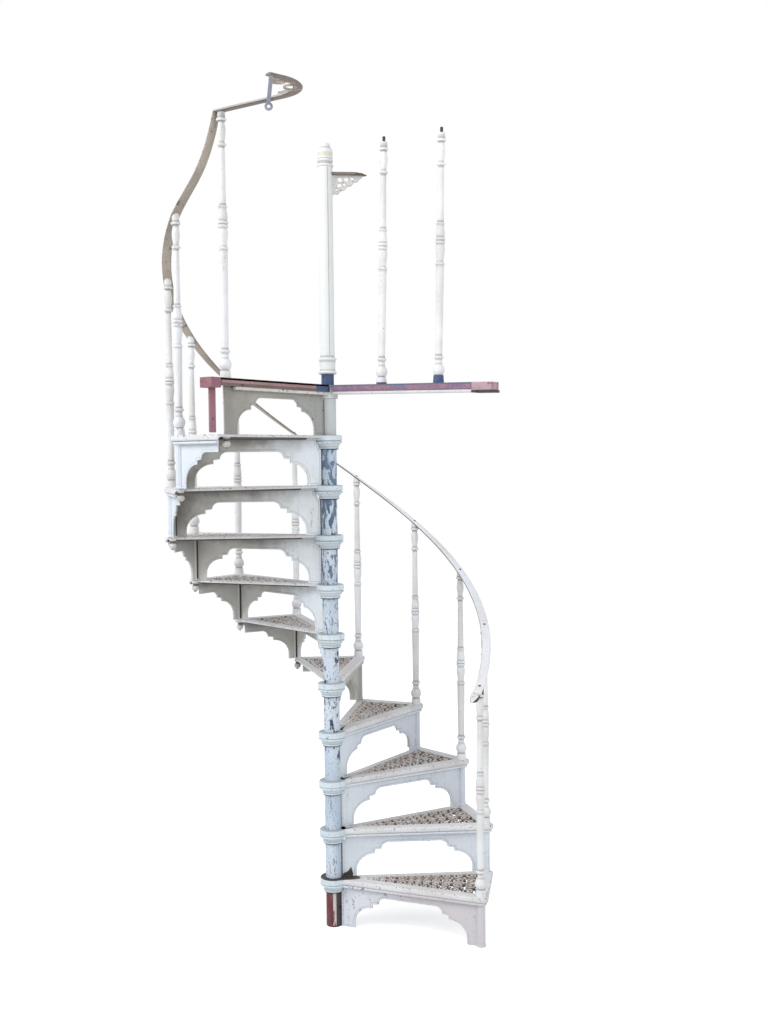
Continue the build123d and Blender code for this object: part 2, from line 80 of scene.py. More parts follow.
# ---- sizes: castings ----
pole_radius, pole_over_landing = 26.0, 900.0
sleeve_radius = 33.0
hub_radius = 57.0
landing_hub_radius = 42.0
hub_height = 55.0
plate_thickness = 10.0
nosing_depth = 22.0
nosing_overhang = 27.0
edge_margin = 30.0
back_margin = 9.0
rim_width = 9.0
root_radius = 37.0
grille_border, grille_front, grille_back, grille_inner = 20.0, 15.0, 20.0, 120.0
riser_thickness = 10.0
riser_side_gap = 2.0
inner_foot, post_width, post_outer, post_radius = 62.0, 70.0, 12.0, 17.0
apron_foot, apron_end_gap = 44.0, 24.0
arch_spring, arch_haunch, arch_step, arch_ledge = 26.0, (78.0, 67.0), 15.0, (27.0, 4.0)
arch_crown = (31.0, 27.0)
riser_top = rise - plate_thickness

# ---- sizes: balusters and rails ----
stair_baluster = 835.0
landing_baluster = 948.0
arrival_extra = 131.0
baluster_block = 23.0
rail_width, rail_thickness = 37.0, 9.0
rail_overrun, rail_start_slope, rail_steepening, rail_top_setback = 0.3, 0.55, 5.0, 0.07
rail_end_swell, rail_swell_steps = 26.0, 0.24
rail_top_step = last_step - rail_top_setback
level_height = landing_height + stair_baluster + arrival_extra
rail_climb = level_height - rail_top_step * rise - stair_baluster
level_width, level_thickness, level_reach = 34.0, 8.0, arrival_reach + 6.0
level_length, bend_radius, bend_turn, tail_length = 300.0, 130.0, 105.0, 55.0


def angle_of(step):
    """Direction of a step's front edge in degrees: equal steps back from the landing's edge."""
    return landing_angle - (last_step - step) * step_angle


def reach_of(step):
    """Distance of a baluster from the newel: over the last step it eases in a little."""
    return baluster_circle - arrival_inset * np.maximum(0.0, step - tread_count)


# ---- surfaces: each is (points, faces, relief) ----
# relief is 1 on edges and beads that rub, 0 on plain faces and -1 in grooves that hold dirt.
# Some undersides, hole walls and the rail's side towards the newel are also set below 0, so that
# the paint darkens them: painted shade as well as dirt.


def grid(points, relief=0.0, wrap_rows=False, wrap_cols=False, caps=False):
    """Quads between neighbouring rows and columns of an array of points (rows, columns, 3).

    With caps the first and last rows are closed by one flat face each.
    """
    rows, cols = points.shape[:2]
    i = np.arange(rows if wrap_rows else rows - 1)[:, None]
    j = np.arange(cols if wrap_cols else cols - 1)[None, :]
    near, far = i * cols, (i + 1) % rows * cols
    left, right = j, (j + 1) % cols
    quads = np.stack([near + left, near + right, far + right, far + left], -1).reshape(-1, 4)
    faces = [quads]
    if caps:
        faces += [np.arange(cols)[None, ::-1], (rows - 1) * cols + np.arange(cols)[None, :]]
    worn = np.broadcast_to(relief, (rows, cols)).reshape(-1).astype(float)
    return points.reshape(-1, 3), faces, worn


def moved(surface, matrix):
    """The surface with its points carried by a 4x4 matrix: p' = M p."""
    points, faces, relief = surface
    return points @ matrix[:3, :3].T + matrix[:3, 3], faces, relief


def turned_to(step, height=0.0):
    """Matrix from a step's own frame (x out along its front edge, y to its back) to the row."""
    turn = radians(angle_of(step))
    c, s = cos(turn), sin(turn)
    return np.array([[c, -s, 0, 0], [s, c, 0, 0], [0, 0, 1, height], [0, 0, 0, 1.0]])


def basis(origin, x_axis, y_axis, z_axis):
    """Matrix whose columns are the three axes and the origin."""
    matrix = np.eye(4)
    matrix[:3, 0], matrix[:3, 1], matrix[:3, 2], matrix[:3, 3] = x_axis, y_axis, z_axis, origin
    return matrix


def shift(x=0.0, y=0.0, z=0.0):
    """Matrix that moves points by a vector."""
    return basis((x, y, z), (1, 0, 0), (0, 1, 0), (0, 0, 1))


def make_piece(name, surfaces, material, nodes=(), crease=38.0):
    """Joins surfaces into one mesh in metres, welds it, turns its faces outwards and shades it.

    Edges that bend by more than the crease angle in degrees stay sharp.
    """
    offsets = np.cumsum([0] + [len(points) for points, faces, relief in surfaces])
    points = np.concatenate([surface[0] for surface in surfaces]) * MM
    relief = np.concatenate([surface[2] for surface in surfaces])
    faces = [array + start for surface, start in zip(surfaces, offsets) for array in surface[1]]
    corners = np.concatenate([array.reshape(-1) for array in faces])
    totals = np.concatenate([np.full(len(array), array.shape[1]) for array in faces])
    mesh = bpy.data.meshes.new(name)
    mesh.vertices.add(len(points))
    mesh.vertices.foreach_set("co", points.reshape(-1))
    mesh.loops.add(len(corners))
    mesh.loops.foreach_set("vertex_index", corners)
    mesh.polygons.add(len(totals))
    mesh.polygons.foreach_set("loop_start", np.concatenate([[0], np.cumsum(totals)[:-1]]))
    mesh.polygons.foreach_set("loop_total", totals)
    mesh.attributes.new("relief", "FLOAT", "POINT").data.foreach_set("value", relief)
    mesh.update(calc_edges=True)
    shell = bmesh.new()
    shell.from_mesh(mesh)
    bmesh.ops.remove_doubles(shell, verts=shell.verts, dist=0.01 * MM)
    bmesh.ops.dissolve_degenerate(shell, edges=shell.edges, dist=0.005 * MM)
    bmesh.ops.recalc_face_normals(shell, faces=shell.faces)
    shell.to_mesh(mesh)
    shell.free()
    mesh.shade_smooth()
    mesh.set_sharp_from_angle(angle=radians(crease))
    mesh.materials.append(material)
    piece = bpy.data.objects.new(name, mesh)
    bpy.context.scene.collection.objects.link(piece)
    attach(piece, "root")
    if nodes:
        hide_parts(*nodes)
    return piece


# ---- turning: profiles spun about an upright axis ----


def turned(foot_radius, elements):
    """Profile (radius, height) of a stack of turned elements, drawn from the foot up.

    line: straight to the new radius, with points near the ends of a long one. step: level to it.
    bead: the straight run plus bulge * sin(pi t), where the widest radius sets the bulge.
    ease: a cosine S between radii.
    """
    runs = [np.array([[foot_radius, 0.0]])]
    for kind, length, top, *widest in elements:
        radius, height = runs[-1][-1]
        if kind in ("line", "step"):
            ends = np.array([4.0, 10.0]) / length if length > 24 else np.zeros(0)
            t = np.concatenate([ends, 1 - ends[::-1], [1.0]])
        else:
            t = np.linspace(0, 1, max(6, round(length / 2)))[1:]
        share = (1 - np.cos(pi * t)) / 2 if kind == "ease" else t
        across = radius + (top - radius) * share
        if widest:
            across = across + (widest[0] - (radius + top) / 2) * np.sin(pi * t)
        runs.append(np.stack([across, height + length * t], -1))
    return np.concatenate(runs)


def profile_relief(profile, reach=9.0, depth=2.5):
    """How far each point of a profile stands out from its neighbours within reach, in -1..1."""
    near = np.abs(profile[:, None, 1] - profile[None, :, 1]) < reach
    mean = (near * profile[None, :, 0]).sum(1) / near.sum(1)
    return np.clip((profile[:, 0] - mean) / depth, -1, 1)


def lathe(profile, segments=32, flutes=0, flute_depth=0.0):
    """A profile (radius, height) spun about z: (r cos a, r sin a, h).

    Flutes make r vary by flute_depth * |cos(flutes a / 2)|.
    """
    turn = np.linspace(0, 2 * pi, segments, endpoint=False)[None, :]
    radius = profile[:, :1] * np.ones_like(turn)
    if flutes:
        radius = radius - flute_depth * np.abs(np.cos(flutes * turn / 2))
    height = profile[:, 1:2] * np.ones_like(turn)
    points = np.stack([radius * np.cos(turn), radius * np.sin(turn), height], -1)
    return grid(points, profile_relief(profile)[:, None], wrap_cols=True, caps=True)


def spun(foot_radius, elements, segments, foot):
    """A stack of turned elements spun about the newel's axis, standing at the height foot."""
    return moved(lathe(turned(foot_radius, elements), segments), shift(z=foot))


# ---- bars: a section carried along a path ----


def sweep(path, section, up=(0, 0, 1), scale=1.0, relief=0.0):
    """A closed section (across, upwards) carried along a path: p + s a + (up) b.

    a is the level side of the path, tangent x up, and b is square to both. scale may differ
    from point to point.
    """
    tangent = np.gradient(path, axis=0)
    tangent /= np.linalg.norm(tangent, axis=1, keepdims=True)
    side = np.cross(tangent, np.asarray(up, float))
    side /= np.linalg.norm(side, axis=1, keepdims=True)
    above = np.cross(side, tangent)
    scale = np.broadcast_to(scale, (len(path),))[:, None, None]
    points = path[:, None] + scale * (
        side[:, None] * section[None, :, :1] + above[:, None] * section[None, :, 1:]
    )
    return grid(points, relief, wrap_cols=True, caps=True)


def rounded_box(width, height, radius, corner=4):
    """Closed section of a bar: a rectangle about the origin with quarter-round corners."""
    turn = np.linspace(0, pi / 2, corner)
    arc = np.stack([np.cos(turn), np.sin(turn)], -1) * radius
    inset = np.array([width / 2 - radius, height / 2 - radius])
    quarters = [
        arc + inset,
        arc[::-1] * (-1, 1) + inset * (-1, 1),
        -arc - inset,
        arc[::-1] * (1, -1) + inset * (1, -1),
    ]
    return np.concatenate(quarters)


def round_bar(radius, segments=12):
    """Closed round section."""
    turn = np.linspace(0, 2 * pi, segments, endpoint=False)
    return np.stack([np.cos(turn), np.sin(turn)], -1) * radius


# ---- outlines in a plane ----


def rounded_outline(corners, radii, arc=7, side=12):
    """Closed outline with each corner replaced by an arc tangent to its two sides.

    Every corner gives arc points and every side gives side points, whatever the lengths, so
    two outlines made alike can be joined point to point.
    """
    corners = np.asarray(corners, float)
    count = len(corners)
    runs, ends = [], []
    for k in range(count):
        before, here, after = corners[k - 1], corners[k], corners[(k + 1) % count]
        back = (before - here) / np.linalg.norm(before - here)
        ahead = (after - here) / np.linalg.norm(after - here)
        half = 0.5 * np.arccos(np.clip(back @ ahead, -1, 1))
        reach = radii[k] / tan(half)
        bisector = (back + ahead) / np.linalg.norm(back + ahead)
        centre = here + bisector * radii[k] / sin(half)
        start, end = here + back * reach, here + ahead * reach
        first = atan2(*(start - centre)[::-1]) if radii[k] else 0.0
        sweep_turn = atan2(*(end - centre)[::-1]) - first if radii[k] else 0.0
        sweep_turn = (sweep_turn + pi) % (2 * pi) - pi
        turn = first + sweep_turn * np.linspace(0, 1, arc)
        runs.append(centre + radii[k] * np.stack([np.cos(turn), np.sin(turn)], -1))
        if not radii[k]:
            runs[-1] = np.repeat(here[None], arc, 0)
        ends.append(runs[-1][-1])
    parts = []
    for k in range(count):
        t = np.linspace(0, 1, side + 2)[1:-1, None]
        parts += [runs[k], ends[k] * (1 - t) + runs[(k + 1) % count][0] * t]
    return np.concatenate(parts)


def outward(outline):
    """Mitred outward normals of a closed counterclockwise outline, without repeated points."""
    ahead = np.roll(outline, -1, 0) - outline
    ahead /= np.maximum(np.linalg.norm(ahead, axis=1, keepdims=True), 1e-9)
    behind = np.roll(ahead, 1, 0)
    normal = np.stack([ahead[:, 1] + behind[:, 1], -ahead[:, 0] - behind[:, 0]], -1)
    normal /= np.maximum(np.linalg.norm(normal, axis=1, keepdims=True), 1e-9)
    lean = np.sum(normal * np.stack([ahead[:, 1], -ahead[:, 0]], -1), 1, keepdims=True)
    return normal / np.maximum(lean, 0.5)


def plate(outline, thickness, bevel=1.5, lip=0.0, lip_depth=0.0):
    """A flat casting on both sides of the plane z = 0, with bevelled edges.

    Rings of the outline are moved in along its normals. With a lip, a band that wide along
    the edge stands proud of a sunk field.
    """
    normal = outward(outline)
    half = thickness / 2
    rings = [(0, half - bevel, 0.6), (bevel, half, 1.0)]
    if lip:
        rings += [(lip, half, 0.5), (lip + lip_depth, half - lip_depth, -1.0)]
        rings += [(lip + 4 * lip_depth, half - lip_depth, 0.0)]
    else:
        rings += [(3 * bevel, half, 0.0)]
    rings = [(inset, -z, worn) for inset, z, worn in rings[::-1]] + rings
    points = np.stack(
        [np.c_[outline - normal * inset, np.full(len(outline), z)] for inset, z, worn in rings]
    )
    relief = np.array([worn for inset, z, worn in rings])[:, None]
    return grid(points, relief, wrap_cols=True, caps=True)


def pierced_plate(x, y, field, top, bottom, rounding=0.0):
    """Plate that is solid where a field sampled on a grid is above zero.

    Each grid cell gives the polygon of its solid corners and of the zero crossings on its
    sides, found by linear interpolation, once on the top and once on the bottom, and a wall
    where two crossings follow each other. The top falls towards the walls as a quarter round:
    drop = r (1 - sqrt(1 - (1 - f/r)^2)) where the field f is less than r.
    """
    rows, cols = field.shape
    solid = field > 0
    flat = np.stack([x, y], -1).reshape(-1, 2)

    def crossing(a, b, fa, fb):
        """Point between a and b where the field, fa at a and fb at b, is zero."""
        share = fa / np.where(fa == fb, 1, fa - fb)
        return a + (b - a) * share[..., None]

    place = np.stack([x, y], -1)
    along = crossing(place[:, :-1], place[:, 1:], field[:, :-1], field[:, 1:]).reshape(-1, 2)
    across = crossing(place[:-1], place[1:], field[:-1], field[1:]).reshape(-1, 2)
    where = np.concatenate([flat, along, across])
    value = np.concatenate([field.reshape(-1), np.zeros(len(along) + len(across))])
    i, j = np.meshgrid(np.arange(rows - 1), np.arange(cols - 1), indexing="ij")
    first_along, first_across = rows * cols, rows * cols + rows * (cols - 1)
    labels = np.stack(
        [
            i * cols + j,
            i * cols + j + 1,
            (i + 1) * cols + j + 1,
            (i + 1) * cols + j,
            first_along + i * (cols - 1) + j,
            first_across + i * cols + j + 1,
            first_along + (i + 1) * (cols - 1) + j,
            first_across + i * cols + j,
        ],
        -1,
    ).reshape(-1, 8)
    inside = np.stack([solid[:-1, :-1], solid[:-1, 1:], solid[1:, 1:], solid[1:, :-1]], -1)
    inside = inside.reshape(-1, 4)
    code = inside @ np.array([1, 2, 4, 8])
    tops, walls = [], []
    for case in range(1, 16):
        cells = labels[code == case]
        corner_in = [bool(case >> k & 1) for k in range(4)]
        walk = []
        for k in range(4):
            walk += [k] if corner_in[k] else []
            walk += [4 + k] if corner_in[k] != corner_in[(k + 1) % 4] else []
        if len(cells):
            tops.append(cells[:, walk])
            pairs = [(a, b) for a, b in zip(walk, walk[1:] + walk[:1]) if a > 3 and b > 3]
            walls += [cells[:, list(pair)] for pair in pairs]
    walls = np.concatenate(walls)
    used = np.unique(np.concatenate([t.reshape(-1) for t in tops]))
    lookup = np.zeros(len(where), int)
    lookup[used] = np.arange(len(used))
    slope = 1 - np.clip(value[used] / max(rounding, 1e-6), 0, 1)
    drop = rounding * (1 - np.sqrt(1 - slope**2))
    upper = np.c_[where[used], top - drop]
    lower = np.c_[where[used], np.full(len(used), bottom)]
    count = len(used)
    faces = [lookup[t] for t in tops] + [lookup[t][:, ::-1] + count for t in tops]
    wall = lookup[walls]
    faces.append(np.c_[wall[:, ::-1], wall + count])
    # Walls get -0.5 and the underside -1, which the paint darkens: painted shade in the holes and under the
    # plate, as well as grime.
    relief = np.where(value[used] > 0, 1 - np.clip(value[used] / 4, 0, 1), -0.5)
    return np.concatenate([upper, lower]), faces, np.concatenate([relief, np.full(count, -1.0)])


# ---- newel ----


def newel_sleeve(foot, length):
    """A plain pipe between two hubs, with rounded ends."""
    elements = [
        ("bead", 1.5, sleeve_radius, sleeve_radius - 0.3),
        ("line", length - 3, sleeve_radius),
        ("bead", 1.5, sleeve_radius - 1.5, sleeve_radius - 0.3),
    ]
    return spun(sleeve_radius - 1.5, elements, 48, foot)


def hub(top):
    """Ring with a rounded top edge over a bead and a tapered collar, threaded on the newel."""
    elements = [
        ("bead", 6.0, sleeve_radius + 8, sleeve_radius + 11),
        ("ease", 15.0, hub_radius - 8),
        ("step", 0.0, hub_radius - 6),
        ("bead", 11.0, hub_radius - 6, hub_radius + 1),
        ("line", 2.0, hub_radius - 4),
        ("step", 0.0, hub_radius),
        ("line", 17.0, hub_radius),
        ("bead", 4.0, hub_radius - 6, hub_radius - 0.5),
    ]
    return spun(sleeve_radius + 8, elements, 56, top - hub_height)


# ---- treads ----


def sector(front, outer, back, inner):
    """Corners of a tread's plan: radial front and back lines moved out by front and back, a
    straight outer edge moved out by outer, and the hub end at the distance inner."""
    outer_line = chord_distance + outer
    turn = radians(step_angle)
    c, s = cos(turn), sin(turn)
    reach_front = (outer_line + front * sin(half_step)) / cos(half_step)
    reach_back = (outer_line + back * sin(half_step)) / cos(half_step)
    return np.array(
        [
            (inner, -front),
            (reach_front, -front),
            (reach_back * c - back * s, reach_back * s + back * c),
            (inner * c - back * s, inner * s + back * c),
        ]
    )


outline_arc, outline_side = 9, 14


def tread_frame():
    """Solid border of a tread: rings from the pierced opening over the nosing and back under.

    Each ring is the plan outline moved in by an inset, at a depth under the tread's top. The
    nosing's depth fades to the plain plate along the back and hub sides.
    """
    base = rounded_outline(
        sector(nosing_overhang, edge_margin, back_margin, root_radius),
        (0, 20, 10, 0),
        outline_arc,
        outline_side,
    )
    opening = rounded_outline(
        sector(-grille_front, -grille_border, -grille_back, grille_inner),
        (3, 6, 6, 3),
        outline_arc,
        outline_side,
    )
    side_points = outline_arc + outline_side
    full = np.zeros(len(base))
    full[: 2 * side_points] = 1
    full[2 * side_points : 2 * side_points + outline_arc] = np.linspace(1, 0, outline_arc)
    normal = outward(base)
    normal[:outline_arc] = (-0.0, -1)
    normal[-side_points:] = 0
    rings = [
        (18.0, 0.0, 0.0),
        (7.0, 0.0, 0.3),
        (4.0, 0.6, 1.0),
        (1.5, 2.4, 1.0),
        (0.0, 6.0, 0.6),
        (0.0, 16.0, 0.2),
        (1.0, 19.5, 0.6),
        (4.0, nosing_depth, 0.2),
        (rim_width, nosing_depth, -0.6),
        (rim_width + 1, plate_thickness, -1.0),
    ]
    flat = [np.c_[opening, np.zeros(len(opening))]]
    for inset, depth, worn in rings:
        down = np.minimum(depth, plate_thickness + (nosing_depth - plate_thickness) * full)
        flat.append(np.c_[base - normal * inset, -down])
    flat.append(np.c_[opening, np.full(len(opening), -plate_thickness)])
    relief = np.array([0.3] + [worn for inset, depth, worn in rings] + [0.0])[:, None]
    return grid(np.stack(flat), relief, wrap_rows=True, wrap_cols=True)


def distance_to(points, line):
    """Distance from each point to the nearest point of a finely sampled line."""
    gap = points[:, None, :] - line[None, :, :]
    return np.sqrt((gap**2).sum(-1).min(1))


def tread_fretwork(cell=2.5, top=-0.8, thickness=17.0):
    """Pierced scrollwork that fills a tread's opening.

    Rows of spirals, r = R (1 - 0.8 t), stand on both sides of the middle line, two to a side
    where there is room, and shrink with the tread's width towards the hub. Discs fill the
    corners between them. The field is the largest of half width minus distance over all of
    these and the border.
    """
    c, s = cos(half_step), sin(half_step)
    corners = sector(-grille_front + 1, -grille_border + 1, -grille_back + 1, grille_inner - 1)
    far = corners[:, 0].max() + 2 * cell
    wide = corners[:, 1].max() + 2 * cell
    x, y = np.meshgrid(np.arange(grille_inner - 3 * cell, far, cell), np.arange(0, wide, cell))
    place = np.stack([x, y], -1).reshape(-1, 2)
    edge = np.full(len(place), 1e9)
    for k in range(4):
        a, b = corners[k], corners[(k + 1) % 4]
        run = (b - a) / np.linalg.norm(b - a)
        edge = np.minimum(edge, (place - a) @ np.array([-run[1], run[0]]))
    u = place @ np.array([c, s])
    v = place @ np.array([-s, c]) + 2.6
    middle = np.stack([u, np.abs(v)], -1)
    field = 4.5 - edge
    station, way = chord_distance - grille_border - 4, 1
    t = np.linspace(0, 1, 80)
    while station > grille_inner + 14:
        width = station * tan(half_step) - 19
        across = 2 if width > 56 else 1
        radius = 0.5 * width / across
        station -= radius
        bar = 1.5 + 0.05 * radius
        for n in range(across):
            centre = np.array([station, width * (n + 0.5) / across])
            turn = way * (-0.5 * pi + 2.6 * pi * t) + pi * n
            reach = (radius - bar) * (1 - 0.8 * t)
            spiral_line = centre + np.stack([reach * np.cos(turn), reach * np.sin(turn)], -1)
            field = np.maximum(field, bar - distance_to(middle, spiral_line))
            field = np.maximum(field, 0.16 * radius - distance_to(middle, centre[None]))
            knots = centre + radius * np.array([[-1, -1], [-1, 1], [1, -1], [1, 1]])
            field = np.maximum(field, 0.2 * radius - distance_to(middle, knots))
        station -= radius * 0.94
        way = -way
    field = np.maximum(field, 2.2 - np.abs(v))
    field = np.maximum(field, 24 - distance_to(middle, np.array([[grille_inner, 0.0]])))
    field = np.minimum(field, edge)
    return pierced_plate(x, y, field.reshape(x.shape), top, top - thickness, 1.4)


# ---- risers ----


def half_arch(foot, direction):
    """One side of the cusped arch: spring, quarter-ellipse haunch, step, ledge, small quarter.

    A quarter ellipse about (cx, cy) is (cx -+ a cos t, cy + b sin t).
    """
    turn = np.linspace(0, pi / 2, 12)
    quarter = np.stack([-np.cos(turn) * direction, np.sin(turn)], -1)
    haunch = np.array([foot + direction * arch_haunch[0], arch_spring])
    curve = haunch + quarter * arch_haunch
    ledge = curve[-1] + (0, arch_step)
    lip = ledge + (direction * arch_ledge[0], arch_ledge[1])
    crown = lip + (direction * arch_crown[0], 0)
    return np.concatenate([[(foot, 0)], curve, [ledge], crown + quarter * arch_crown])


def riser_outline(step):
    """Outline of the arched plate in its own plane (x outwards, y up), counterclockwise.

    Its inner edge follows the sleeve and then the hub's collar, or the landing's plain collar.
    """
    riser_inner = sleeve_radius + 1.5
    hub_foot = rise - hub_height - 0.5
    outer = reach_of(step) + post_outer
    inner_arch = half_arch(sleeve_radius + riser_side_gap + inner_foot, 1)
    outer_arch = half_arch(outer - post_width, -1)
    if step == last_step:
        collar = [(landing_hub_radius + 0.5, riser_top), (landing_hub_radius + 0.5, hub_foot)]
    else:
        collar = [
            (hub_radius + 1, riser_top),
            (hub_radius + 1, hub_foot + 23.5),
            (hub_radius - 6, hub_foot + 20.5),
            (sleeve_radius + 11.5, hub_foot),
        ]
    rest = [(outer, 0), (outer, riser_top)] + collar + [(riser_inner, hub_foot), (riser_inner, 0)]
    return np.concatenate([inner_arch, outer_arch[::-1], rest])


def apron_outline():
    """Outline of the plate under the outer edge, from this corner towards the next (x), y up."""
    arch = half_arch(apron_foot, 1)
    end = chord_length - apron_end_gap
    rest = [(end, arch[-1, 1]), (end, riser_top), (-post_outer, riser_top), (-post_outer, 0)]
    return np.concatenate([arch, rest])


def half_plate(outline, side):
    """The front (side 1) or the back (side -1) half of a riser's casting, with a raised border."""
    return moved(plate(outline, riser_thickness / 2, 1.2, 7.0, 1.2), shift(z=side * riser_thickness / 4))


def upright(step, height):
    """Matrix from a riser's plane (x outwards, y up, z forwards) to the row."""
    turn = radians(angle_of(step))
    return basis(
        (0, 0, height), (cos(turn), sin(turn), 0), (0, 0, 1), (sin(turn), -cos(turn), 0)
    )


def apron_matrix(step, height):
    """Matrix from an apron's plane to the row."""
    turn = radians(angle_of(step))
    middle = turn + half_step
    corner = (baluster_circle * cos(turn), baluster_circle * sin(turn), height)
    return basis(corner, (-sin(middle), cos(middle), 0), (0, 0, 1), (cos(middle), sin(middle), 0))


def top_bead(step, top, last):
    """Half-round moulding under the nosing, along the riser and round the apron."""
    arc_points, side_points, depth = 9, 24, 29.0
    corners = sector(17.0, 17.0, 0.0, root_radius)
    path = rounded_outline(corners, (0, 12, 0, 0), arc_points, side_points)
    stop = arc_points + side_points - 2 if last else 2 * (arc_points + side_points)
    path = path[arc_points - 1 : stop]
    line = np.c_[path, np.zeros(len(path))]
    section = round_bar(7.0) + (0, -depth)
    worn = 1 - 2 * np.clip(np.abs(section[:, 1] + depth) / 5 - 0.2, 0, 1)
    return moved(sweep(line, section, relief=worn[None]), turned_to(step, top))


def corner_post():
    """Fluted quarter column at a riser's outer end, from foot to nosing, on a small base."""
    profile = turned(
        post_radius + 2,
        [
            ("line", 7.0, post_radius + 2),
            ("ease", 5.0, post_radius),
            ("line", riser_top - 24, post_radius),
            ("ease", 5.0, post_radius + 2),
            ("line", 7.0, post_radius + 2),
        ],
    )
    return moved(lathe(profile, 72, 12, 1.6), shift(x=baluster_circle))


def wrapped_strip(start, end, foot, top, radius):
    """Upright strip round a cylinder: a band of arc in plan, from start to end in degrees."""
    turn = np.radians(np.linspace(start, end, 14))
    ring = np.stack([np.cos(turn), np.sin(turn)], -1)
    outline = np.concatenate([ring * (radius + 0.7), ring[::-1] * (radius - 0.7)])
    return moved(plate(outline, top - foot, 0.2), shift(z=(foot + top) / 2))


# ---- balusters ----


def baluster_profile(height, head_length):
    """Turned baluster: its lower shaft takes up the height asked for."""
    foot = [
        ("line", 3.0, 21.0),
        ("line", 24.0, 19.0),
        ("step", 0.0, 14.0),
        ("bead", 46.0, 13.5, 23.5),
        ("ease", 18.0, 13.0),
        ("bead", 14.0, 13.5, 19.5),
    ]
    waist = [
        ("bead", 10.0, 15.0, 19.0),
        ("line", 3.0, 14.0),
        ("ease", 48.0, 18.5),
        ("ease", 18.0, 15.5),
        ("bead", 13.0, 15.5, 20.0),
        ("bead", 13.0, 15.5, 20.0),
        ("ease", 12.0, 17.8),
        ("ease", 36.0, 14.0),
        ("bead", 8.0, 13.0, 17.5),
        ("line", 212.0, 11.0),
    ]
    head = [
        ("bead", 14.0, 11.0, 17.5),
        ("ease", 42.0, 15.5),
        ("ease", 37.0, 11.5),
        ("step", 0.0, 17.0),
        ("bead", 9.0, 17.0, 19.0),
        ("step", 0.0, 14.5),
        ("line", head_length, 14.5),
    ]
    turned_height = sum(element[1] for element in foot + waist + head)
    shaft = [("line", height - turned_height, 16.0)]
    return turned(21.0, foot + shaft + waist + head)


def rail_height(step):
    """Height of the rail's underside, which climbs steeply at the end to the level rail."""
    early = rise + stair_baluster + rail_start_slope * rise * (step - 1)
    steeper = np.maximum(0.0, step - tread_count) / (rail_top_step - tread_count)
    late = step * rise + stair_baluster + rail_climb * steeper**rail_steepening
    return np.where(step < 1, early, np.minimum(late, level_height))


def stair_baluster_piece(step):
    """A baluster whose top follows the rail: z is held under the rail's underside plane."""
    turn = radians(angle_of(step))
    reach = reach_of(step)
    top = float(rail_height(step))
    slope = (top - float(rail_height(step - 0.01))) / (reach * radians(step_angle) / 100)
    spare = 14.5 * slope if step < last_step else 0.0
    height = top - step * rise + spare
    points, faces, relief = lathe(baluster_profile(height, baluster_block + spare), 28)
    points = points + (reach * cos(turn), reach * sin(turn), step * rise)
    along = -sin(turn) * points[:, 0] + cos(turn) * points[:, 1]
    points[:, 2] = np.minimum(points[:, 2], top - 0.4 + slope * along)
    return points, faces, relief


# ---- rails ----


def rail_section(width, depth):
    """Flat underside with small bead edges under a crowned top, about the underside's middle."""
    half = width / 2
    under = [(-half + 3, 0.0), (half - 3, 0.0), (half - 0.8, 0.9), (half, 3.0), (half, depth * 0.42)]
    t = np.linspace(0, pi, 15)[1:-1]
    top = [(half - 0.6, depth * 0.52)]
    arc = np.stack([np.cos(t) * (half - 2), depth * (0.55 + 0.45 * np.sin(t) ** 0.7)], -1)
    mirrored = [(-half + 0.6, depth * 0.52), (-half, depth * 0.42), (-half, 3.0), (-half + 0.8, 0.9)]
    return np.concatenate([under, top, arc, mirrored])


def handrail(first, last, under_relief=0.0):
    """Rail over the baluster circle: sections upright to the newel, level across.

    Its free end swells underneath and closes in a rounded drop. The side towards the newel
    is darkened as painted shade and dirt, and so is the underside where under_relief is -1.
    """
    start = np.linspace(1 - rail_overrun, 1, 40)[:-1]
    even = np.linspace(1, tread_count, 181)[:-1]
    step = np.concatenate([start, even, np.linspace(tread_count, rail_top_step, 61)])
    turn = np.radians(angle_of(step))
    height = rail_height(step)
    slope = np.gradient(height, baluster_circle * turn)
    thick = np.sqrt(1 + slope**2)
    end = np.clip((step - step[0]) / 0.16, 0, 1)
    close = np.sqrt(np.clip(1 - (1 - end) ** 2, 0.0, 1))
    section = rail_section(rail_width, rail_thickness)
    swell = rail_end_swell * np.clip(1 - (step - step[0]) / rail_swell_steps, 0, 1) ** 0.8
    across = section[None, :, 0] * np.maximum(close, 0.12)[:, None]
    under = np.clip(1 - section[:, 1] / (0.5 * rail_thickness), 0, 1)[None, :]
    up = section[None, :, 1] * thick[:, None] - under * (swell * close)[:, None]
    up = np.minimum(up, (level_height + level_thickness - height)[:, None])
    middle = (rail_thickness * 0.5 - swell * 0.5)[:, None]
    up = middle + (up - middle) * np.maximum(close, 0.12)[:, None]
    reach = reach_of(step)[:, None] + across
    points = np.stack(
        [reach * np.cos(turn)[:, None], reach * np.sin(turn)[:, None], height[:, None] + up], -1
    )
    worn = np.clip((np.abs(section[:, 0]) - rail_width / 2 + 5) / 5, 0, 1)
    # The lower part of the side towards the newel is set to -1: painted shade and dirt.
    inner = (section[:, 0] < 1 - rail_width / 2) & (section[:, 1] < 0.6 * rail_thickness)
    worn = np.where(inner, -1.0, worn)
    shade_and_dirt_height = 0.5 * rail_thickness if under_relief < 0 else 0.5
    worn = np.where(section[:, 1] < shade_and_dirt_height, under_relief, worn)
    return grid(points[(step >= first) & (step <= last)], worn[None, :], wrap_cols=True, caps=True)


def landing_rail_path(count=60):
    """Level run, bend towards the landing's outside and a short tail, at the rail's underside."""
    straight = np.linspace(-18.9, level_length, 24)[:-1]
    run = np.stack([straight, np.full_like(straight, -level_reach)], -1)
    turn = np.radians(np.linspace(0, bend_turn, count))
    bend = np.stack(
        [level_length + bend_radius * np.sin(turn), -level_reach - bend_radius * (1 - np.cos(turn))],
        -1,
    )
    ahead = np.array([cos(radians(bend_turn)), -sin(radians(bend_turn))])
    tail = bend[-1] + ahead * np.linspace(0, tail_length, 8)[1:, None]
    path = np.concatenate([run, bend, tail])
    return np.c_[path, np.full(len(path), level_height)]


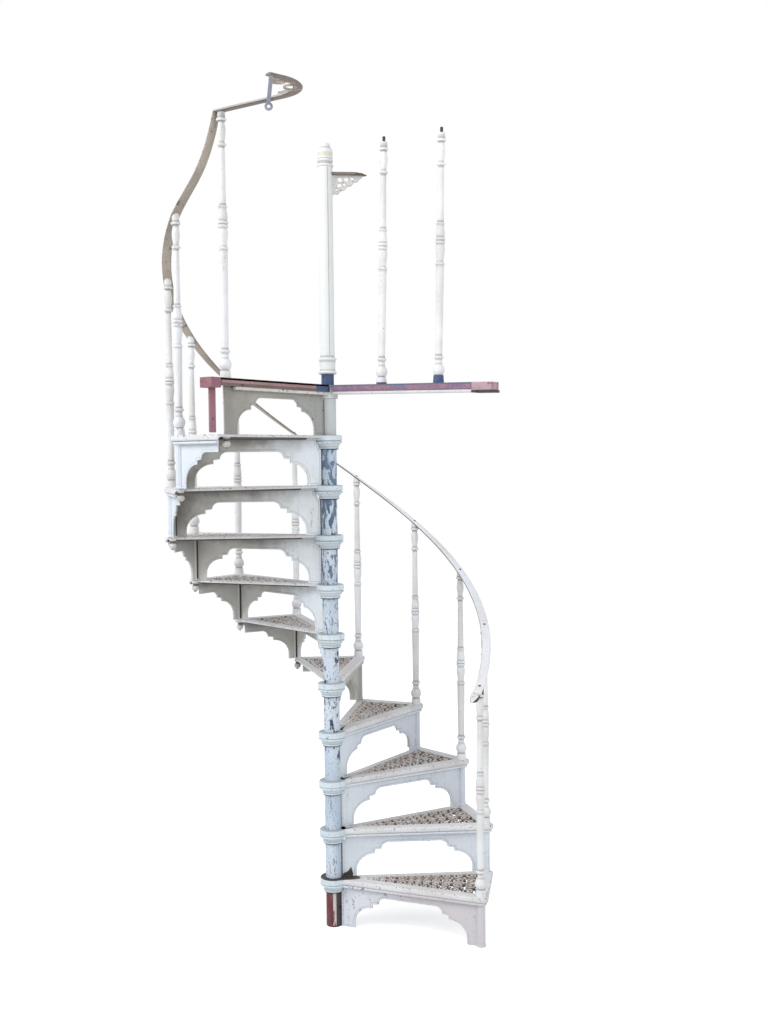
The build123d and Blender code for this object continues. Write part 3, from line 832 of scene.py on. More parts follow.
def spiral(centre, radius, turns, start, direction=1, inner=0.18, count=70):
    """Spiral line in a plane: its radius shrinks evenly from radius to inner * radius."""
    t = np.linspace(0, 1, count)
    reach = radius * (1 - (1 - inner) * t)
    turn = start + direction * 2 * pi * turns * t
    return np.asarray(centre) + np.stack([reach * np.cos(turn), reach * np.sin(turn)], -1)


def level(line, height):
    """Points in a plane at a height."""
    return np.c_[line, np.full(len(line), float(height))]


def at_corner(step, height, reach=baluster_circle):
    """Matrix to a height over a step's corner, reach away from the newel."""
    turn = radians(angle_of(step))
    return shift(reach * cos(turn), reach * sin(turn), height)


# ---- landing castings, in step frames whose x runs along the casting ----

curb_sag = radians(1.4)
curb_places = (269.0, 536.0)
curb_reach, curb_lug, curb_depth = 785.0, 85.0, 40.0
strip_reach, lug_reach = 680.0, 730.0
curb_along = (cos(curb_sag), 0, -sin(curb_sag))
curb_up = (sin(curb_sag), 0, cos(curb_sag))
curb_frame = basis((0, 0, landing_height), curb_along, (0, 1, 0), curb_up)
strip_frame = turned_to(last_step, landing_height)


def straight_bar(start, end, section, across=0.0, height=0.0, parts=24, relief=0.0):
    """A section carried along x from start to end, in a casting's own frame."""
    x = np.linspace(start, end, parts)
    path = np.stack([x, np.full_like(x, across), np.full_like(x, height)], -1)
    return sweep(path, section, relief=relief)


def block(x, y, z, radius=2.0):
    """A rounded block between the given (low, high) limits, in a casting's own frame."""
    width, depth = y[1] - y[0], z[1] - z[0]
    inset = np.array([radius, radius * 0.3, 0, 0, radius * 0.3, radius])
    x_at = np.array([0, radius * 0.3, radius, -radius, -radius * 0.3, 0])
    path = np.stack([np.where(np.arange(6) < 3, x[0], x[1]) + x_at, np.zeros(6), np.zeros(6)], -1)
    section = rounded_box(width, depth, radius)
    scale = 1 - 2 * inset / max(width, depth)
    middle = ((y[0] + y[1]) / 2, (z[0] + z[1]) / 2)
    worn = np.array([1, 1, 0.2, 0.2, 1, 1.0])[:, None]
    surface = sweep(path, section, scale=scale, relief=worn)
    return moved(surface, shift(0, middle[0], middle[1]))


# ---- materials ----


def srgb(code):
    """Linear colour of a web colour code."""
    values = [int(code[k : k + 2], 16) / 255 for k in (1, 3, 5)]
    return [v / 12.92 if v <= 0.04045 else ((v + 0.055) / 1.055) ** 2.4 for v in values] + [1]


def add(tree, kind, settings=None, **inputs):
    """A new node with its properties set and its inputs given a value or wired to a socket.

    Input names have spaces as underscores; in0, in1 ... name an input by its number.
    """
    made = tree.nodes.new(kind)
    for key, value in (settings or {}).items():
        setattr(made, key, value)
    for key, value in inputs.items():
        number = key[2:]
        target = made.inputs[int(number)] if number.isdigit() else made.inputs[key.replace("_", " ")]
        if isinstance(value, bpy.types.NodeSocket):
            tree.links.new(value, target)
        else:
            target.default_value = value
    return made


def blend(tree, share, first, second, mode="MIX"):
    """Colour mix of two colours by a share."""
    made = add(
        tree, "ShaderNodeMix", {"data_type": "RGBA", "blend_type": mode}, in0=share, in6=first, in7=second
    )
    return made.outputs[2]


def calc(tree, operation, first, second=0.0, clamp=False):
    """One step of arithmetic on values."""
    made = add(tree, "ShaderNodeMath", {"operation": operation, "use_clamp": clamp}, in0=first, in1=second)
    return made.outputs[0]


def vector(tree, operation, output=0, **inputs):
    """One step of arithmetic on vectors."""
    return add(tree, "ShaderNodeVectorMath", {"operation": operation}, **inputs).outputs[output]


def times(tree, first, second, clamp=False):
    """Product of two values."""
    return calc(tree, "MULTIPLY", first, second, clamp)


def plus(tree, first, second):
    """Sum of two values."""
    return calc(tree, "ADD", first, second)


def minus(tree, first, second, clamp=False):
    """Difference of two values."""
    return calc(tree, "SUBTRACT", first, second, clamp)


def larger(tree, first, second):
    """The larger of two values."""
    return calc(tree, "MAXIMUM", first, second)


def seen_directly(tree):
    """One where a ray comes from the camera, a reflection or a transmission, else zero."""
    path = add(tree, "ShaderNodeLightPath").outputs
    seen = larger(tree, path["Is Camera Ray"], path["Is Glossy Ray"])
    return larger(tree, seen, path["Is Transmission Ray"])


def ease(tree, value, start, end, low_out=0.0, high_out=1.0):
    """Smooth step of a value from start to end."""
    made = add(
        tree,
        "ShaderNodeMapRange",
        {"interpolation_type": "SMOOTHSTEP"},
        Value=value,
        From_Min=start,
        From_Max=end,
        To_Min=low_out,
        To_Max=high_out,
    )
    return made.outputs[0]


def group(name, inputs, outputs):
    """An empty shader node group with named sockets: (name, type, default) each."""
    tree = bpy.data.node_groups.new(name, "ShaderNodeTree")
    for label, kind, default in inputs:
        socket = tree.interface.new_socket(label, in_out="INPUT", socket_type=f"NodeSocket{kind}")
        if default is not None:
            socket.default_value = default
    for label, kind in outputs:
        tree.interface.new_socket(label, in_out="OUTPUT", socket_type=f"NodeSocket{kind}")
    return tree, tree.nodes.new("NodeGroupInput").outputs, tree.nodes.new("NodeGroupOutput").inputs


def noise(tree, place, scale, detail=5.0, roughness=0.6, distortion=0.0):
    """Soft fractal noise in 0..1 at a number of waves per metre."""
    made = add(
        tree,
        "ShaderNodeTexNoise",
        None,
        Vector=place,
        Scale=scale,
        Detail=detail,
        Roughness=roughness,
        Distortion=distortion,
    )
    return made.outputs[0]


def flaked_paint_group():
    """Old paint: a coat that has come off in patches over an undercoat and in chips to bare iron."""
    tree, given, put = group(
        "flaked_paint",
        [
            ("Place", "Vector", None),
            ("Relief", "Float", 0.0),
            ("Coat", "Color", (1, 1, 1, 1)),
            ("Undercoat", "Color", (0, 0, 0, 1)),
            ("Bare", "Color", (0, 0, 0, 1)),
            ("Patches", "Float", 0.2),
            ("Chips", "Float", 0.2),
            ("Size", "Float", 1.0),
        ],
        [("Color", "Color"), ("Roughness", "Float"), ("Height", "Float"), ("Lost", "Float")],
    )
    place, relief = given["Place"], given["Relief"]
    scaled = vector(tree, "SCALE", in0=place, in3=given["Size"])
    broad = noise(tree, scaled, 9.0, 3.0, 0.5)
    patchy = noise(tree, scaled, 34.0, 8.0, 0.62, 0.25)
    fine = noise(tree, scaled, 150.0, 6.0, 0.6, 0.1)
    exposed = larger(tree, relief, 0.0)
    field = plus(tree, times(tree, patchy, 0.72), times(tree, broad, 0.28))
    field = plus(tree, field, times(tree, exposed, 0.03))
    limit = minus(tree, 0.72, times(tree, given["Patches"], 0.34))
    over = minus(tree, field, limit)
    patch = ease(tree, over, 0.0, 0.006)
    rim = minus(tree, ease(tree, over, -0.022, 0.0), patch, clamp=True)
    chip_field = plus(tree, times(tree, fine, 0.8), times(tree, patchy, 0.2))
    chip_field = plus(tree, chip_field, times(tree, exposed, 0.055))
    chip_limit = minus(tree, 0.74, times(tree, given["Chips"], 0.28))
    chip_over = minus(tree, chip_field, chip_limit)
    chip = ease(tree, chip_over, 0.0, 0.012)
    halo = minus(tree, ease(tree, chip_over, -0.05, 0.0), chip, clamp=True)
    under = blend(tree, times(tree, fine, 0.5), given["Undercoat"], given["Bare"])
    color = blend(tree, patch, given["Coat"], under)
    color = blend(tree, times(tree, rim, 0.35), color, given["Bare"])
    color = blend(tree, times(tree, halo, 0.16), color, given["Bare"])
    color = blend(tree, chip, color, given["Bare"])
    tree.links.new(color, put["Color"])
    lost = larger(tree, patch, chip)
    tree.links.new(lost, put["Lost"])
    rough = plus(tree, 0.48, times(tree, lost, 0.34))
    tree.links.new(plus(tree, rough, times(tree, fine, 0.12)), put["Roughness"])
    layers = plus(tree, patch, times(tree, chip, 0.7))
    tree.links.new(minus(tree, 1.0, times(tree, layers, 0.55)), put["Height"])
    return tree


def weathering_group():
    """Dirt on a finish: broad tint, rain streaks that run down, and grime held in grooves, which is painted
    shade on undersides given negative relief.
    """
    tree, given, put = group(
        "weathering",
        [
            ("Place", "Vector", None),
            ("Relief", "Float", 0.0),
            ("Color", "Color", (1, 1, 1, 1)),
            ("Tint", "Color", (1, 1, 1, 1)),
            ("Tint Amount", "Float", 0.5),
            ("Grime", "Color", (0.1, 0.08, 0.06, 1)),
            ("Streaks", "Float", 0.3),
            ("Grooves", "Float", 0.6),
        ],
        [("Color", "Color")],
    )
    place = given["Place"]
    cloud = ease(tree, noise(tree, place, 5.0, 4.0, 0.55), 0.38, 0.66)
    color = blend(tree, times(tree, cloud, given["Tint Amount"]), given["Color"], given["Tint"])
    tall = vector(tree, "MULTIPLY", in0=place, in1=(60, 60, 5))
    run = ease(tree, noise(tree, tall, 1.0, 5.0, 0.6), 0.5, 0.74)
    speckle = ease(tree, noise(tree, place, 80.0, 4.0, 0.7), 0.45, 0.7)
    run = times(tree, run, times(tree, speckle, given["Streaks"]))
    color = blend(tree, run, color, given["Grime"])
    groove = times(tree, times(tree, given["Relief"], -1.0, clamp=True), given["Grooves"])
    tree.links.new(blend(tree, groove, color, given["Grime"]), put["Color"])
    return tree


def cast_grain_group():
    """Height of the pitted skin of cast iron under its paint, in 0..1."""
    tree, given, put = group(
        "cast_grain", [("Place", "Vector", None), ("Pits", "Float", 0.4)], [("Height", "Float")]
    )
    place = given["Place"]
    lumps = noise(tree, place, 70.0, 3.0, 0.5)
    grain = noise(tree, place, 420.0, 3.0, 0.6)
    pits = ease(tree, noise(tree, place, 210.0, 2.0, 0.5), 0.62, 0.74)
    height = plus(tree, times(tree, lumps, 0.7), times(tree, grain, 0.3))
    tree.links.new(minus(tree, height, times(tree, pits, given["Pits"])), put["Height"])
    return tree


def outer_tone_and_shade_group():
    """Outer tone and painted shade with dirt on the castings, from the place on the stair in metres.

    The colour turns towards the outer tone away from the newel. The painted shade grows from the
    newel outwards, from the lower steps to the upper ones, and up each step towards its nosing, where
    the nosing's shadow falls: the fraction of z / rise.
    """
    tree, given, put = group(
        "outer_tone_and_shade",
        [
            ("Place", "Vector", None),
            ("Color", "Color", (1, 1, 1, 1)),
            ("Outer", "Color", (0.4, 0.35, 0.3, 1)),
            ("Shade", "Color", (0.1, 0.08, 0.06, 1)),
            ("Outer Amount", "Float", 0.8),
            ("Shade Amount", "Float", 0.7),
        ],
        [("Color", "Color")],
    )
    place = given["Place"]
    split = add(tree, "ShaderNodeSeparateXYZ", None, Vector=place).outputs
    flat = vector(tree, "MULTIPLY", in0=place, in1=(1, 1, 0))
    reach = vector(tree, "LENGTH", "Value", in0=flat)
    mottle = noise(tree, place, 11.0, 5.0, 0.6)
    wobble = times(tree, minus(tree, mottle, 0.5), 0.35)
    outer = ease(tree, plus(tree, reach, wobble), 0.10, 0.42)
    # far and upper give painted shade on the outer ends of the upper steps.
    far = ease(tree, plus(tree, reach, wobble), 0.40, 0.66)
    upper = ease(tree, split["Z"], 1.45, 1.75)
    part = calc(tree, "FRACT", calc(tree, "DIVIDE", split["Z"], rise * MM))
    # nosing gives the painted shadow under each step's nosing, with some dirt.
    nosing = ease(tree, plus(tree, part, wobble), 0.66, 0.97)
    color = blend(tree, times(tree, outer, given["Outer Amount"]), given["Color"], given["Outer"])
    edge = times(tree, nosing, ease(tree, outer, 0.0, 1.0, 0.45, 1.0))
    shade = larger(tree, times(tree, far, upper), edge)
    shade = times(tree, shade, given["Shade Amount"])
    tree.links.new(blend(tree, shade, color, given["Shade"]), put["Color"])
    return tree


flaked_paint = flaked_paint_group()
weathering = weathering_group()
cast_grain = cast_grain_group()
outer_tone_and_shade = outer_tone_and_shade_group()


def painted(
    name,
    coat,
    undercoat="#39435F",
    bare="#5B3A28",
    patches=0.15,
    chips=0.25,
    size=1.0,
    tint="#B9B2A4",
    tint_amount=0.35,
    grime="#4A4038",
    streaks=0.35,
    grooves=0.55,
    pits=0.4,
    seed=0.0,
    specular=0.35,
    stretch=1.0,
    outer=None,
    outer_amount=0.8,
    shade="#4C443C",
    shade_amount=0.7,
):
    """Painted cast iron: flaking coat, weathering and a cast skin, from the shared groups.

    A stretch under 1 draws the patches out upright.
    """
    material = bpy.data.materials.new(name)
    material.use_nodes = True
    tree = material.node_tree
    shader = tree.nodes["Principled BSDF"]
    coords = add(tree, "ShaderNodeTexCoord").outputs["Object"]
    moved_by = (seed, seed * 0.7, -seed)
    place = vector(tree, "MULTIPLY_ADD", in0=coords, in1=(1, 1, stretch), in2=moved_by)
    relief = add(tree, "ShaderNodeAttribute", {"attribute_name": "relief"}).outputs["Fac"]

    def use(shared, **inputs):
        """Outputs of a shared group fed with this paint's place."""
        return add(tree, "ShaderNodeGroup", {"node_tree": shared}, Place=place, **inputs).outputs

    paint = use(
        flaked_paint,
        Relief=relief,
        Coat=srgb(coat),
        Undercoat=srgb(undercoat),
        Bare=srgb(bare),
        Patches=patches,
        Chips=chips,
        Size=size,
    )
    dirty = use(
        weathering,
        Relief=relief,
        Color=paint["Color"],
        Tint=srgb(tint),
        Tint_Amount=tint_amount,
        Grime=srgb(grime),
        Streaks=streaks,
        Grooves=grooves,
    )
    # An outer colour brings the outer tone and painted shade, set by the place on the stair.
    if outer:
        under = {"Color": dirty["Color"], "Outer": srgb(outer), "Shade": srgb(shade)}
        amounts = {"Outer_Amount": outer_amount, "Shade_Amount": shade_amount}
        shared = {"node_tree": outer_tone_and_shade}
        dirty = add(tree, "ShaderNodeGroup", shared, Place=coords, **under, **amounts).outputs
    skin = use(cast_grain, Pits=pits)
    tree.links.new(dirty["Color"], shader.inputs["Base Color"])
    tree.links.new(paint["Roughness"], shader.inputs["Roughness"])
    shader.inputs["Specular IOR Level"].default_value = specular
    coarse = add(tree, "ShaderNodeBump", None, Strength=0.35, Distance=0.0012, Height=skin["Height"])
    step_edge = add(
        tree,
        "ShaderNodeBump",
        None,
        Strength=0.6,
        Distance=0.0006,
        Height=paint["Height"],
        Normal=coarse.outputs[0],
    )
    tree.links.new(step_edge.outputs[0], shader.inputs["Normal"])
    return material


tread_paint = painted("tread_paint", "#DADADB", patches=0.1, chips=0.38, tint="#BFB7B2", grooves=0.75)
hub_paint = painted("hub_paint", "#D6E0E6", patches=0.08, chips=0.3, tint="#BAC7CF", grooves=0.4, seed=1.7)
riser_paint = painted(
    "riser_paint", "#D9DFE5", "#A79E9A", patches=0.12, chips=0.3, tint="#C3C9D4", streaks=0.5,
    grooves=0.35, seed=3.1,
)
first_riser_paint = painted(
    "first_riser_paint", "#D8DDE4", "#ADA09C", patches=0.3, chips=0.42, size=0.9, tint="#C4BFC6",
    streaks=0.6, grooves=0.45, seed=3.4, outer="#C6BEC1", outer_amount=0.75, shade_amount=0.0,
)
# Riser 5's front and apron: a greyer coat and a beige outer tone as painted shade, where the light falls
# off.
shaded_riser_paint = painted(
    "shaded_riser_paint", "#CBD1D5", "#A79E9A", patches=0.12, chips=0.3, tint="#B7B8B6", streaks=0.5,
    grooves=0.4, seed=3.3, outer="#AFADA6", outer_amount=0.95, shade_amount=0.0,
)
# Backs of the risers and aprons and the post linings: beige outer tone and darkening as painted shade with
# dirt.
back_shade_and_dirt_paint = painted(
    "back_shade_and_dirt_paint", "#E6EDF2", patches=0.12, chips=0.3, tint="#C9C8C2", streaks=0.6, grooves=0.4,
    seed=3.7, outer="#C3C0B8", outer_amount=0.9, shade_amount=0.74,
)
# Back of the top riser: a darker coat, as painted shade with dirt.
top_back_shade_and_dirt_paint = painted(
    "top_back_shade_and_dirt_paint", "#A3A4A0", "#8A8375", patches=0.2, chips=0.35, tint="#969288", streaks=0.7,
    grooves=0.5, seed=3.9, outer="#B4B0A7", outer_amount=0.8, shade_amount=0.4,
)
baluster_paint = painted("baluster_paint", "#E6E7E8", patches=0.06, chips=0.3, seed=5.2)
# Greyer coat and dark bases: painted shade, as the nuts hang under the treads.
shaded_nut_paint = painted(
    "shaded_nut_paint", "#CDCBC5", patches=0.15, chips=0.4, tint="#918D84", tint_amount=0.5, grooves=0.9,
    seed=6.1,
)
landing_baluster_paint = painted("landing_baluster_paint", "#EDEDEE", patches=0.03, chips=0.22, seed=6.4)
sleeve_paint = painted(
    "sleeve_paint", "#CBD5DF", "#46506E", "#2C3044", patches=0.4, chips=0.56, size=1.6, tint="#A3B5CA",
    tint_amount=0.6, seed=8.3, stretch=0.4,
)
base_paint = painted(
    "base_paint", "#6A2C33", "#3A2026", "#A58C88", patches=0.45, chips=0.25, tint="#4C262D", seed=8.9,
    stretch=0.3,
)
base_strip_paint = painted(
    "base_strip_paint", "#C3BFBE", "#7C5A5A", "#4A3336", patches=0.4, chips=0.45, tint="#A29C9C",
    seed=9.1, stretch=0.3,
)
seam_paint = painted("seam_paint", "#B5AC9A", "#8B8272", patches=0.3, chips=0.4, tint="#A59C8A", seed=8.6)
flaked_sleeve_paint = painted(
    "flaked_sleeve_paint", "#DFE8EF", "#36405A", "#1D2136", patches=0.6, chips=0.6, size=1.8,
    tint="#8FA6BE", tint_amount=0.6, seed=9.7, stretch=0.35,
)
chipped_sleeve_paint = painted(
    "chipped_sleeve_paint", "#D6DFE8", "#3E4763", "#262B42", patches=0.5, chips=0.6, size=1.7,
    tint="#9DB1C7", tint_amount=0.6, seed=9.2, stretch=0.35,
)
top_sleeve_paint = painted(
    "top_sleeve_paint", "#CDD2D2", "#8F9088", patches=0.12, chips=0.3, tint="#B5B5AE", seed=10.4,
)
shaft_paint = painted(
    "shaft_paint", "#E6EAEB", patches=0.03, chips=0.2, tint="#E4DFD2", grime="#8C8478", seed=11.0,
)
cap_paint = painted(
    "cap_paint", "#EAE9E9", patches=0.04, chips=0.2, tint="#E0DDE6", grime="#8C8C7C", grooves=0.6,
    seed=11.5,
)
band_paint = painted("band_paint", "#D8DBCA", patches=0.08, chips=0.25, tint="#C6CBB6", seed=11.8)
# Near-black for bolts and studs, and for dark strips and rings set as painted shadow in gaps, corners and
# under parts.
dark_and_shadow_paint = painted(
    "dark_and_shadow_paint", "#3B3536", "#2A2A36", "#241E1C", patches=0.3, chips=0.3, tint="#4A4038", seed=22.0,
)
# Dark iron for the stub's end, and for the first baluster's socket, where its dark is painted shadow under
# the rail.
dark_iron_and_shadow = painted(
    "dark_iron_and_shadow", "#5C5340", "#463C30", "#33291F", patches=0.3, chips=0.4, tint="#6B6250", seed=23.0,
)
navy_paint = painted("navy_paint", "#46577C", "#252C46", patches=0.4, chips=0.45, tint="#2F3852", seed=12.0)
red_oxide = painted("red_oxide", "#8C5F6A", "#5C363D", patches=0.25, chips=0.35, tint="#A57F88", seed=13.0)
pink_primer = painted(
    "pink_primer", "#9B7181", "#737C98", "#96404F", patches=0.6, chips=0.45, size=2.2, tint="#85708A",
    seed=14.0,
)
lug_paint = painted(
    "lug_paint", "#B4929D", "#8A5E6C", "#5E3A44", patches=0.3, chips=0.4, tint="#C7B2BC", seed=14.4,
)
brown_strip = painted(
    "brown_strip", "#6B5A52", "#4A3A34", patches=0.35, chips=0.5, tint="#8A7468", seed=15.0,
)
strip_band_paint = painted(
    "strip_band_paint", "#9A7178", "#6A564E", "#C4B8B0", patches=0.42, chips=0.5, tint="#B7A3A2",
    seed=15.7,
)
strip_bead_paint = painted(
    "strip_bead_paint", "#DAD6D1", "#7E6A5B", "#50402F", patches=0.42, chips=0.5, tint="#B2A79C",
    seed=15.4,
)
slate_paint = painted(
    "slate_paint", "#4F6478", "#2E3A5C", patches=0.3, chips=0.4, tint="#A8707E", seed=16.0,
)
# High grooves darken the rail's side towards the newel: painted shade and dirt.
rail_paint = painted(
    "rail_paint", "#E8EAEE", patches=0.06, chips=0.32, tint="#D2CCC6", tint_amount=0.4, grooves=0.95,
    seed=17.0,
)
# The end's dark grime on its underside is painted shade and dirt.
rail_end_paint = painted(
    "rail_end_paint", "#DEDCD6", "#8A8272", patches=0.15, chips=0.45, tint="#BDB8AC", grime="#34312D",
    grooves=1.0, seed=17.2,
)
rail_edge_paint = painted(
    "rail_edge_paint", "#B3B4B1", "#7C6A60", patches=0.3, chips=0.4, tint="#9A9A98", seed=17.8,
)
upper_rail_paint = painted(
    "upper_rail_paint", "#BCB0A3", "#77695C", patches=0.3, chips=0.4, tint="#8A857A", tint_amount=0.65,
    seed=17.5,
)
brown_rail = painted("brown_rail", "#7A6C64", "#5C4A48", patches=0.3, chips=0.4, tint="#968980", seed=18.0)
grey_iron = painted("grey_iron", "#8F91A2", "#62646F", patches=0.15, chips=0.35, tint="#B3B3C0", seed=19.0)
bracket_paint = painted("bracket_paint", "#DAD8D5", patches=0.12, chips=0.45, seed=20.0)
# Dark grime and high grooves darken the hole walls and underside: painted shade and grime.
worn_grille = painted(
    "worn_grille", "#E2DCD8", "#A3846B", "#5A4233", patches=0.34, chips=0.5, size=1.8, tint="#C2B2A8",
    tint_amount=0.6, grime="#332A26", streaks=0.25, grooves=0.95, seed=21.0,
)

# ---- pieces: newel ----

shaft_foot, cap_foot, band_foot, bracket_top = 45.0, 885.0, 926.0, 866.0
sleeves = [newel_sleeve((k - 1) * rise + 0.2, rise - hub_height - 0.4) for k in range(1, last_step + 1)]
make_piece("newel_sleeves_upper", sleeves[1:7], sleeve_paint, ["newel_sleeves"])
make_piece("newel_sleeve_top", sleeves[10:], top_sleeve_paint)
make_piece("newel_sleeve_chipped", sleeves[7:8], chipped_sleeve_paint)
make_piece("newel_sleeves_flaked", sleeves[8:10], flaked_sleeve_paint)
make_piece("newel_sleeve_base", sleeves[:1], base_paint)
strip_top = rise - hub_height - 6
make_piece(
    "newel_base_pale_strip", [wrapped_strip(-60, -37, 8, strip_top, sleeve_radius)], base_strip_paint,
)
make_piece(
    "newel_base_dark_strip", [wrapped_strip(-36, 20, 4, strip_top, sleeve_radius)], dark_and_shadow_paint,
)

# Dark rings just under each hub: painted shadow in the gap between hub and sleeve.
seam = [("line", 1.0, 40.5), ("line", 3.0, 40.5), ("line", 1.0, 36.0)]
shadow_rings = [spun(36.0, seam, 48, k * rise - hub_height - 4) for k in range(1, last_step)]
make_piece("newel_shadow_rings", shadow_rings, dark_and_shadow_paint)

pole = turned(pole_radius, [("line", landing_height + pole_over_landing, pole_radius)])
make_piece("newel_pole_bare", [lathe(pole, 40)], navy_paint, ["newel_pole"])

collar_and_shaft = [
    ("bead", 14.0, 33.0, 39.0),
    ("line", 3.0, 32.0),
    ("line", 34.0, 33.0),
    ("line", 4.0, 34.0),
    ("bead", 14.0, 30.0, 38.0),
    ("line", 771.0, 30.0),
]
shaft = spun(33.0, collar_and_shaft, 56, landing_height + shaft_foot)
make_piece("newel_shaft_turned", [shaft], shaft_paint, ["newel_shaft"])
seam_turn = radians(-34.0)
casting_seam = straight_bar(landing_height + 118, landing_height + 882, rounded_box(2.6, 1.6, 0.6))
seam_frame = basis(
    (30 * cos(seam_turn), 30 * sin(seam_turn), 0),
    (0, 0, 1),
    (-sin(seam_turn), cos(seam_turn), 0),
    (-cos(seam_turn), -sin(seam_turn), 0),
)
make_piece("newel_shaft_seam", [moved(casting_seam, seam_frame)], seam_paint)

cap_elements = [
    ("bead", 12.0, 30.0, 35.0),
    ("line", 8.0, 29.5),
    ("bead", 12.0, 28.5, 34.0),
    ("ease", 4.0, 31.0),
    ("line", 33.0, 31.5),
    ("bead", 7.0, 24.0, 30.0),
    ("line", 14.0, 22.0),
    ("bead", 7.0, 12.0, 20.0),
]
cap = spun(30.0, cap_elements, 48, landing_height + cap_foot)
make_piece("newel_cap_turned", [cap], cap_paint, ["newel_cap"])
band_elements = [("bead", 1.5, 31.5, 31.3), ("line", 15.0, 31.5), ("bead", 1.5, 30.6, 31.3)]
band = spun(30.6, band_elements, 48, landing_height + band_foot)
make_piece("newel_cap_band", [band], band_paint)

# ---- pieces: treads, risers, nuts ----

# Dark top of the first hub, with a wedge of painted shadow out to riser 2's foot.
patch_turn = np.radians(np.linspace(48, 312, 24)) + half_step
patch_arc = np.stack([np.cos(patch_turn), np.sin(patch_turn)], -1) * (hub_radius - 2)
shadow_wedge = np.array([(96.0, -4.0), (112.0, 12.0), (108.0, 30.0), (84.0, 38.0)])
patch = moved(plate(np.concatenate([patch_arc, shadow_wedge]), 1.6, 0.5), turned_to(1, rise + 0.8))
make_piece("tread_01_dark_top_and_shadow", [patch], dark_and_shadow_paint)

rim = tread_frame()
lace = tread_fretwork()
for step in range(1, last_step):
    place = turned_to(step, step * rise)
    make_piece(
        f"tread_{step:02d}_cast",
        [moved(rim, place)],
        tread_paint,
        [f"tread_{step:02d}"],
    )
    make_piece(f"tread_{step:02d}_hub", [hub(step * rise)], hub_paint)
    make_piece(
        f"tread_{step:02d}_fretwork",
        [moved(lace, place)],
        worn_grille,
        ["tread_grilles"] if step == 1 else (),
    )

post = corner_post()
for step in range(1, last_step + 1):
    foot = (step - 1) * rise
    place = upright(step, foot)
    outline = riser_outline(step)
    bead = top_bead(step, step * rise, step == last_step)
    front = [moved(half_plate(outline, 1), place), bead]
    back = [moved(half_plate(outline, -1), place)]
    # Dark strips at the sleeve and in the corner behind the post: painted shade and dirt where the castings
    # meet.
    gap_height = (2, rise - hub_height - 3)
    shadow_gaps = [moved(block((33.0, 37.0), gap_height, (-5.6, 5.6), 0.8), place)]
    if step < last_step:
        apron_place = apron_matrix(step, foot)
        front += [moved(post, turned_to(step, foot)), moved(half_plate(apron_outline(), 1), apron_place)]
        back.append(moved(half_plate(apron_outline(), -1), apron_place))
        # The post's inner lining takes the back's paint: painted shade and dirt.
        lining = wrapped_strip(104, 176, 5, riser_top - 10, post_radius + 1.2)
        back.append(moved(lining, turned_to(step, foot) @ shift(x=baluster_circle)))
        post_shadow_seam = block((0.0, 4.0), (4, riser_top - 8), (-7.0, 7.0), 0.8)
        shadow_gaps.append(moved(post_shadow_seam, place @ shift(x=baluster_circle - post_radius - 2, z=-4)))
    # Riser 5's front takes the paint with painted shade, and the backs take painted shade and dirt.
    front_paint = {1: first_riser_paint, 5: shaded_riser_paint}.get(step, riser_paint)
    back_paint = top_back_shade_and_dirt_paint if step == last_step else back_shade_and_dirt_paint
    make_piece(f"riser_{step:02d}_cast", front, front_paint, [f"riser_{step:02d}"])
    make_piece(f"riser_{step:02d}_back", back, back_paint)
    make_piece(f"riser_{step:02d}_gaps", shadow_gaps, dark_and_shadow_paint)

# Dark patch at riser 2's inner foot: painted shadow between riser, sleeve and tread.
foot_shadow_outline = np.array([(38.0, 2.0), (80.0, 2.0), (80.0, 14.0), (73.0, 40.0), (60.0, 22.0), (38.0, 12.0)])
foot_place = upright(2, rise) @ shift(z=riser_thickness / 2)
make_piece("riser_02_foot_shadow", [moved(plate(foot_shadow_outline, 1.2, 0.4), foot_place)], dark_and_shadow_paint)

nut_elements = [
    ("bead", 26.0, 13.0, 14.5),
    ("line", 3.0, 9.0),
    ("line", 9.0, 9.0),
    ("step", 0.0, 13.0),
    ("bead", 6.0, 13.0, 14.0),
]
nut = turned(2.0, nut_elements)
nuts = []
for step in range(2, last_step + 1):
    height = (step - 1) * rise - plate_thickness - sum(element[1] for element in nut_elements)
    nuts.append(moved(lathe(nut, 24), at_corner(step, height, reach_of(step))))
make_piece("acorn_nuts_turned", nuts, shaded_nut_paint, ["acorn_nuts"])

# ---- pieces: balusters ----

for step in range(1, last_step + 1):
    make_piece(
        f"baluster_{step:02d}_turned",
        [stair_baluster_piece(step)],
        baluster_paint,
        [f"baluster_{step:02d}"],
    )
tall_baluster = lathe(baluster_profile(landing_baluster, baluster_block), 28)
uprights = [moved(tall_baluster, curb_frame @ shift(x=along)) for along in curb_places]
make_piece(
    "landing_balusters_turned", uprights, landing_baluster_paint,
    ["landing_balusters"],
)
stud = lathe(turned(6.0, [("line", 20, 6.0), ("line", 2, 4.5)]), 16)
studs = [moved(stud, curb_frame @ shift(along, 0, landing_baluster)) for along in curb_places]
make_piece("landing_baluster_studs", studs, dark_and_shadow_paint)

# ---- pieces: landing castings ----


def set_in(frame_matrix, name, bars, material, nodes=()):
    """A piece of bars that are drawn in a casting's own frame."""
    return make_piece(name, [moved(bar, frame_matrix) for bar in bars], material, nodes)


navy_end = 118.0
face_start = 30.0
hub_elements = [("line", 46.0, 41.5), ("bead", 6.0, 42.0, 44.0), ("bead", 3.0, 40.0, 41.4)]
landing_hub = spun(41.0, hub_elements, 56, landing_height - hub_height)
make_piece("landing_collar", [landing_hub], tread_paint)


